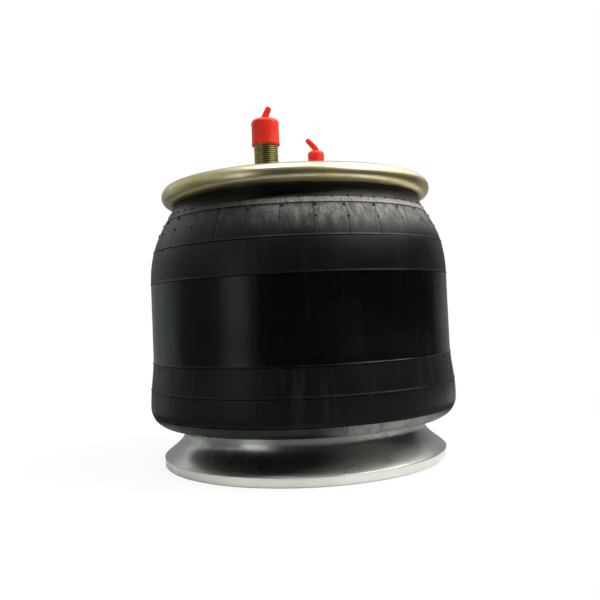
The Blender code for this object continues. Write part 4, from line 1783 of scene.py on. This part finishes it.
@dataclass
class HiddenHardware:
    """The solids that keep their own shape: closure, bump stop, bolt, inserts and bead wires."""

    def build(self, finishes: Finishes) -> None:
        """Give each carried-over node its material.

        Args:
            finishes: The materials.
        """
        chosen = {
            "end_closure": finishes.steel,
            "bump_stop": finishes.bump_rubber,
            "bump_stop_plate": finishes.steel,
            "piston_bolt": finishes.steel,
            "piston_bolt_head_washer": finishes.steel,
            "piston_bolt_seal": finishes.bump_rubber,
            "piston_bolt_washer": finishes.steel,
            "piston_bolt_nut": finishes.steel,
            "lower_bead_wire": finishes.wire,
            "upper_bead_wire": finishes.wire,
        }
        for index in range(1, 5):
            chosen[f"thread_insert_{index}"] = finishes.steel
        for name, material in chosen.items():
            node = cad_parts[name]
            node.data.materials.clear()
            node.data.materials.append(material)
            LOG.info("%s: %s", name, material.name)


# Studio


@dataclass(frozen=True)
class PaleFloor:
    """Pale floor that fades to white. Metal sees it only near the object and in a ring further out,
    with the ring's +X side brighter as painted light, and elsewhere dark as painted shade.
    """

    pale: tuple[Triple, Triple] = ((0.86, 0.86, 0.85), (0.89, 0.89, 0.88))
    unlit: Triple = (0.01, 0.01, 0.01)
    near: Point = (0.145, 0.19)
    ring_start: Point = (0.28, 0.36)
    ring_end: Point = (0.46, 0.62)
    lit_side: Point = (-0.02, 0.15)
    fade: Point = (0.13, 0.38)

    def seen_by_metal(self, sheet: Sheet, place: Socket, away: Socket) -> Socket:
        """Mask the parts of the floor that show in reflections.

        Args:
            sheet: Where the nodes go.
            place: The object coordinates.
            away: Distance from the object's axis.

        Returns:
            The mask.
        """
        split = sheet.add("ShaderNodeSeparateXYZ")
        sheet.feed(split.inputs[0], place)
        # Painted light: the ring is brighter on the +X side, as a pool of light falling there.
        side = sheet.ramp(split.outputs[0], *self.lit_side, 0.5, 1.0)
        near = sheet.ramp(away, *self.near, 1.0, 0.0)
        ring = sheet.times(sheet.ramp(away, *self.ring_start), sheet.ramp(away, *self.ring_end, 1.0, 0.2))
        return sheet.most(near, sheet.times(ring, side))

    def build(self) -> bpy.types.Material:
        """Build the material, which is white to the camera and clear from below.

        Returns:
            The material.
        """
        sheet = Paint("pale floor", (0.9, 0.9, 0.9))
        place = sheet.place()
        length = sheet.add("ShaderNodeVectorMath", operation="LENGTH")
        sheet.feed(length.inputs[0], place)
        away = length.outputs["Value"]
        seen = sheet.add("ShaderNodeLightPath").outputs
        facing = sheet.add("ShaderNodeNewGeometry").outputs
        hidden = sheet.times(seen["Is Glossy Ray"], sheet.minus(1.0, self.seen_by_metal(sheet, place, away)))
        pale = sheet.mix(sheet.noise(place, 3.0, 2.0), *self.pale)
        sheet.feed(sheet.shader.inputs["Base Color"], sheet.mix(hidden, pale, self.unlit))
        sheet.shader.inputs["Roughness"].default_value = 0.7
        white = sheet.times(seen["Is Camera Ray"], sheet.ramp(away, *self.fade, 0.88, 1.0))
        lit = sheet.filled("ShaderNodeMixShader", (white, sheet.shader.outputs[0], sheet.glow()))
        clear = sheet.add("ShaderNodeBsdfTransparent").outputs[0]
        both = sheet.filled("ShaderNodeMixShader", (facing["Backfacing"], lit, clear))
        sheet.feed(sheet.output.inputs["Surface"], both)
        return sheet.material


@dataclass(frozen=True)
class WhiteBackdrop:
    """Plain white glow, dimmer to everything but the camera."""

    dimmed: float = 0.35

    def build(self) -> bpy.types.Material:
        """Build the material.

        Returns:
            The material.
        """
        sheet = Paint("white backdrop", (1.0, 1.0, 1.0))
        sheet.tree.nodes.remove(sheet.shader)
        glow = sheet.glow()
        seen = sheet.add("ShaderNodeLightPath").outputs["Is Camera Ray"]
        sheet.feed(glow.node.inputs["Strength"], sheet.ramp(seen, 0.0, 1.0, self.dimmed, 1.0))
        sheet.feed(sheet.output.inputs["Surface"], glow)
        return sheet.material


@dataclass(frozen=True)
class Softbox:
    """Rectangular lamp that faces the object. Bearing is in degrees from -Y towards +X, power in watts."""

    name: str
    bearing: float
    elevation: float
    distance: float
    size: Point
    power: float
    tint: Triple = (1.0, 1.0, 1.0)

    def hang(self, middle: Triple) -> None:
        """Hang the lamp.

        Args:
            middle: The point that the lamp faces.
        """
        data = bpy.data.lights.new(self.name, "AREA")
        data.shape = "RECTANGLE"
        data.size, data.size_y = self.size
        data.energy = self.power
        data.color = self.tint
        lamp = bpy.data.objects.new(self.name, data)
        bpy.context.scene.collection.objects.link(lamp)
        bearing, elevation = math.radians(self.bearing), math.radians(self.elevation)
        level = math.cos(elevation)
        away = Vector((math.sin(bearing) * level, -math.cos(bearing) * level, math.sin(elevation)))
        lamp.location = Vector(middle) + away * self.distance
        lamp.rotation_euler = away.to_track_quat("Z", "Y").to_euler()


@dataclass
class Studio:
    """Pale floor, bright backdrop, soft lamps and the camera of the photograph."""

    eye: Triple = (0.0, -0.614, 0.123)
    target: Triple = (0.0004, 0.0, 0.1331)
    roll: float = -2.4
    focal_pixels: float = 708.0
    frame_pixels: int = 600
    sensor: float = 36.0
    middle: Triple = (0.0, 0.0, 0.12)
    fill: Triple = (0.017, 0.023, 0.020)
    floor_radius: float = 0.62
    floor_middle: Triple = (0.16, 0.05, -0.0002)
    backdrop_middle: Triple = (0.0, 1.7, 1.0)
    backdrop_size: Triple = (5.0, 2.4, 1.0)
    lamps: tuple[Softbox, ...] = (
        Softbox("right_softbox", 76, 52, 1.25, (1.10, 0.86), 21.0, (1.0, 0.975, 0.945)),
        Softbox("front_softbox", -22, 73, 1.3, (0.50, 0.40), 10.0, (1.0, 0.965, 0.93)),
        Softbox("overhead_softbox", 175, 78, 1.5, (1.6, 1.3), 7.0),
        Softbox("left_top_softbox", -98, 38, 1.5, (2.3, 1.15), 4.2, (1.0, 0.985, 0.95)),
        Softbox("right_back_softbox", 126, 42, 1.4, (1.0, 0.8), 3.0, (1.0, 0.98, 0.95)),
        Softbox("left_panel", -112, 12, 1.3, (0.6, 1.2), 1.0, (0.85, 1.0, 0.90)),
        Softbox("left_wash", -80, 4, 1.6, (2.4, 0.8), 0.9, (0.90, 1.0, 0.92)),
        Softbox("underside_lamp", 0, -90, 0.119, (0.15, 0.15), 0.15),
        Softbox("front_left_panel", -45, 10, 1.5, (0.50, 0.90), 2.1, (0.88, 1.0, 0.91)),
    )

    def camera(self) -> None:
        """Place the camera and make it the scene's."""
        data = bpy.data.cameras.new("photo_camera")
        data.sensor_width = self.sensor
        data.lens = data.sensor_width * self.focal_pixels / self.frame_pixels
        data.clip_start = 0.01
        item = bpy.data.objects.new("photo_camera", data)
        bpy.context.scene.collection.objects.link(item)
        ahead = (Vector(self.target) - Vector(self.eye)).normalized()
        level = ahead.cross(Vector((0, 0, 1))).normalized()
        above = level.cross(ahead)
        roll = math.radians(self.roll)
        right = level * math.cos(roll) + above * math.sin(roll)
        up = above * math.cos(roll) - level * math.sin(roll)
        item.matrix_world = Matrix((right, up, -ahead)).transposed().to_4x4()
        item.location = self.eye
        bpy.context.scene.camera = item

    def world(self) -> None:
        """White to the camera, a dim even fill to everything else."""
        world = bpy.data.worlds.new("studio")
        bpy.context.scene.world = world
        world.use_nodes = True
        sheet = Sheet(world.node_tree)
        seen = sheet.add("ShaderNodeLightPath").outputs["Is Camera Ray"]
        background = world.node_tree.nodes["Background"]
        sheet.feed(background.inputs["Color"], sheet.mix(seen, self.fill, (1.0, 1.0, 1.0)))

    def floor(self) -> None:
        """Lay the floor."""
        deselect()
        bpy.ops.mesh.primitive_circle_add(
            vertices=96, radius=self.floor_radius, fill_type="NGON", location=self.floor_middle
        )
        floor = settle(named("floor"))
        floor.data.materials.append(PaleFloor().build())

    def backdrop(self) -> None:
        """Stand a white sheet behind the object, which metal and rubber reflect at their edges."""
        deselect()
        upright = (math.pi / 2, 0, 0)
        bpy.ops.mesh.primitive_plane_add(size=1.0, location=self.backdrop_middle, rotation=upright)
        backdrop = named("backdrop")
        backdrop.scale = self.backdrop_size
        settle(backdrop)
        backdrop.data.materials.append(WhiteBackdrop().build())

    def build(self) -> None:
        """Set the whole studio."""
        self.camera()
        self.world()
        self.floor()
        self.backdrop()
        for lamp in self.lamps:
            lamp.hang(self.middle)
        bpy.context.scene.view_settings.view_transform = "Standard"


@dataclass
class PlateGroup:
    """The bead plate with its two studs and their caps."""

    stud_line: float = 70.0
    stud_reach: float = 62.5 * MM

    def build(self, finishes: Finishes) -> None:
        """Build the plate, the studs and the caps.

        Args:
            finishes: The materials.
        """
        bearing = math.radians(self.stud_line)
        plain = (self.stud_reach * math.cos(bearing), self.stud_reach * math.sin(bearing))
        combo = (-plain[0], -plain[1])
        holes = ((*combo, 9.825 * MM), (*plain, 6.65 * MM))
        parts = (
            CrimpedPlate(stud_places=holes),
            ThreadedStud(
                name="air_inlet_stud",
                node="combo_stud",
                place=combo,
                radius=9.525 * MM,
                pitch=1.5875 * MM,
                head_radius=15.0 * MM,
                port_radius=6.2 * MM,
            ),
            ThreadedStud(
                name="mounting_stud",
                node="plain_stud",
                place=plain,
                radius=6.35 * MM,
                pitch=1.9538 * MM,
                head_radius=12.0 * MM,
            ),
            DippedCap(
                name="air_inlet_cap",
                node="combo_stud_cap",
                body=Body.COMBO_CAP,
                place=combo,
                inner=9.825 * MM,
                length=20.6 * MM,
                tab_length=11.5 * MM,
                lean=24.0,
            ),
            DippedCap(
                name="mounting_cap",
                node="plain_stud_cap",
                body=Body.PLAIN_CAP,
                place=plain,
                inner=6.65 * MM,
                length=19 * MM,
                tab_length=15.5 * MM,
                lean=-42.0,
            ),
        )
        for part in parts:
            part.build(finishes)


def main() -> None:
    """Build the studio and every sub-assembly in order."""
    logging.basicConfig(level=logging.INFO, format="%(name)s: %(message)s")
    Studio().build()
    finishes = Finishes()
    for part in (FlaredPiston(), RolledSleeve(), PlateGroup(), HiddenHardware()):
        part.build(finishes)


if __name__ == "__main__":
    main()
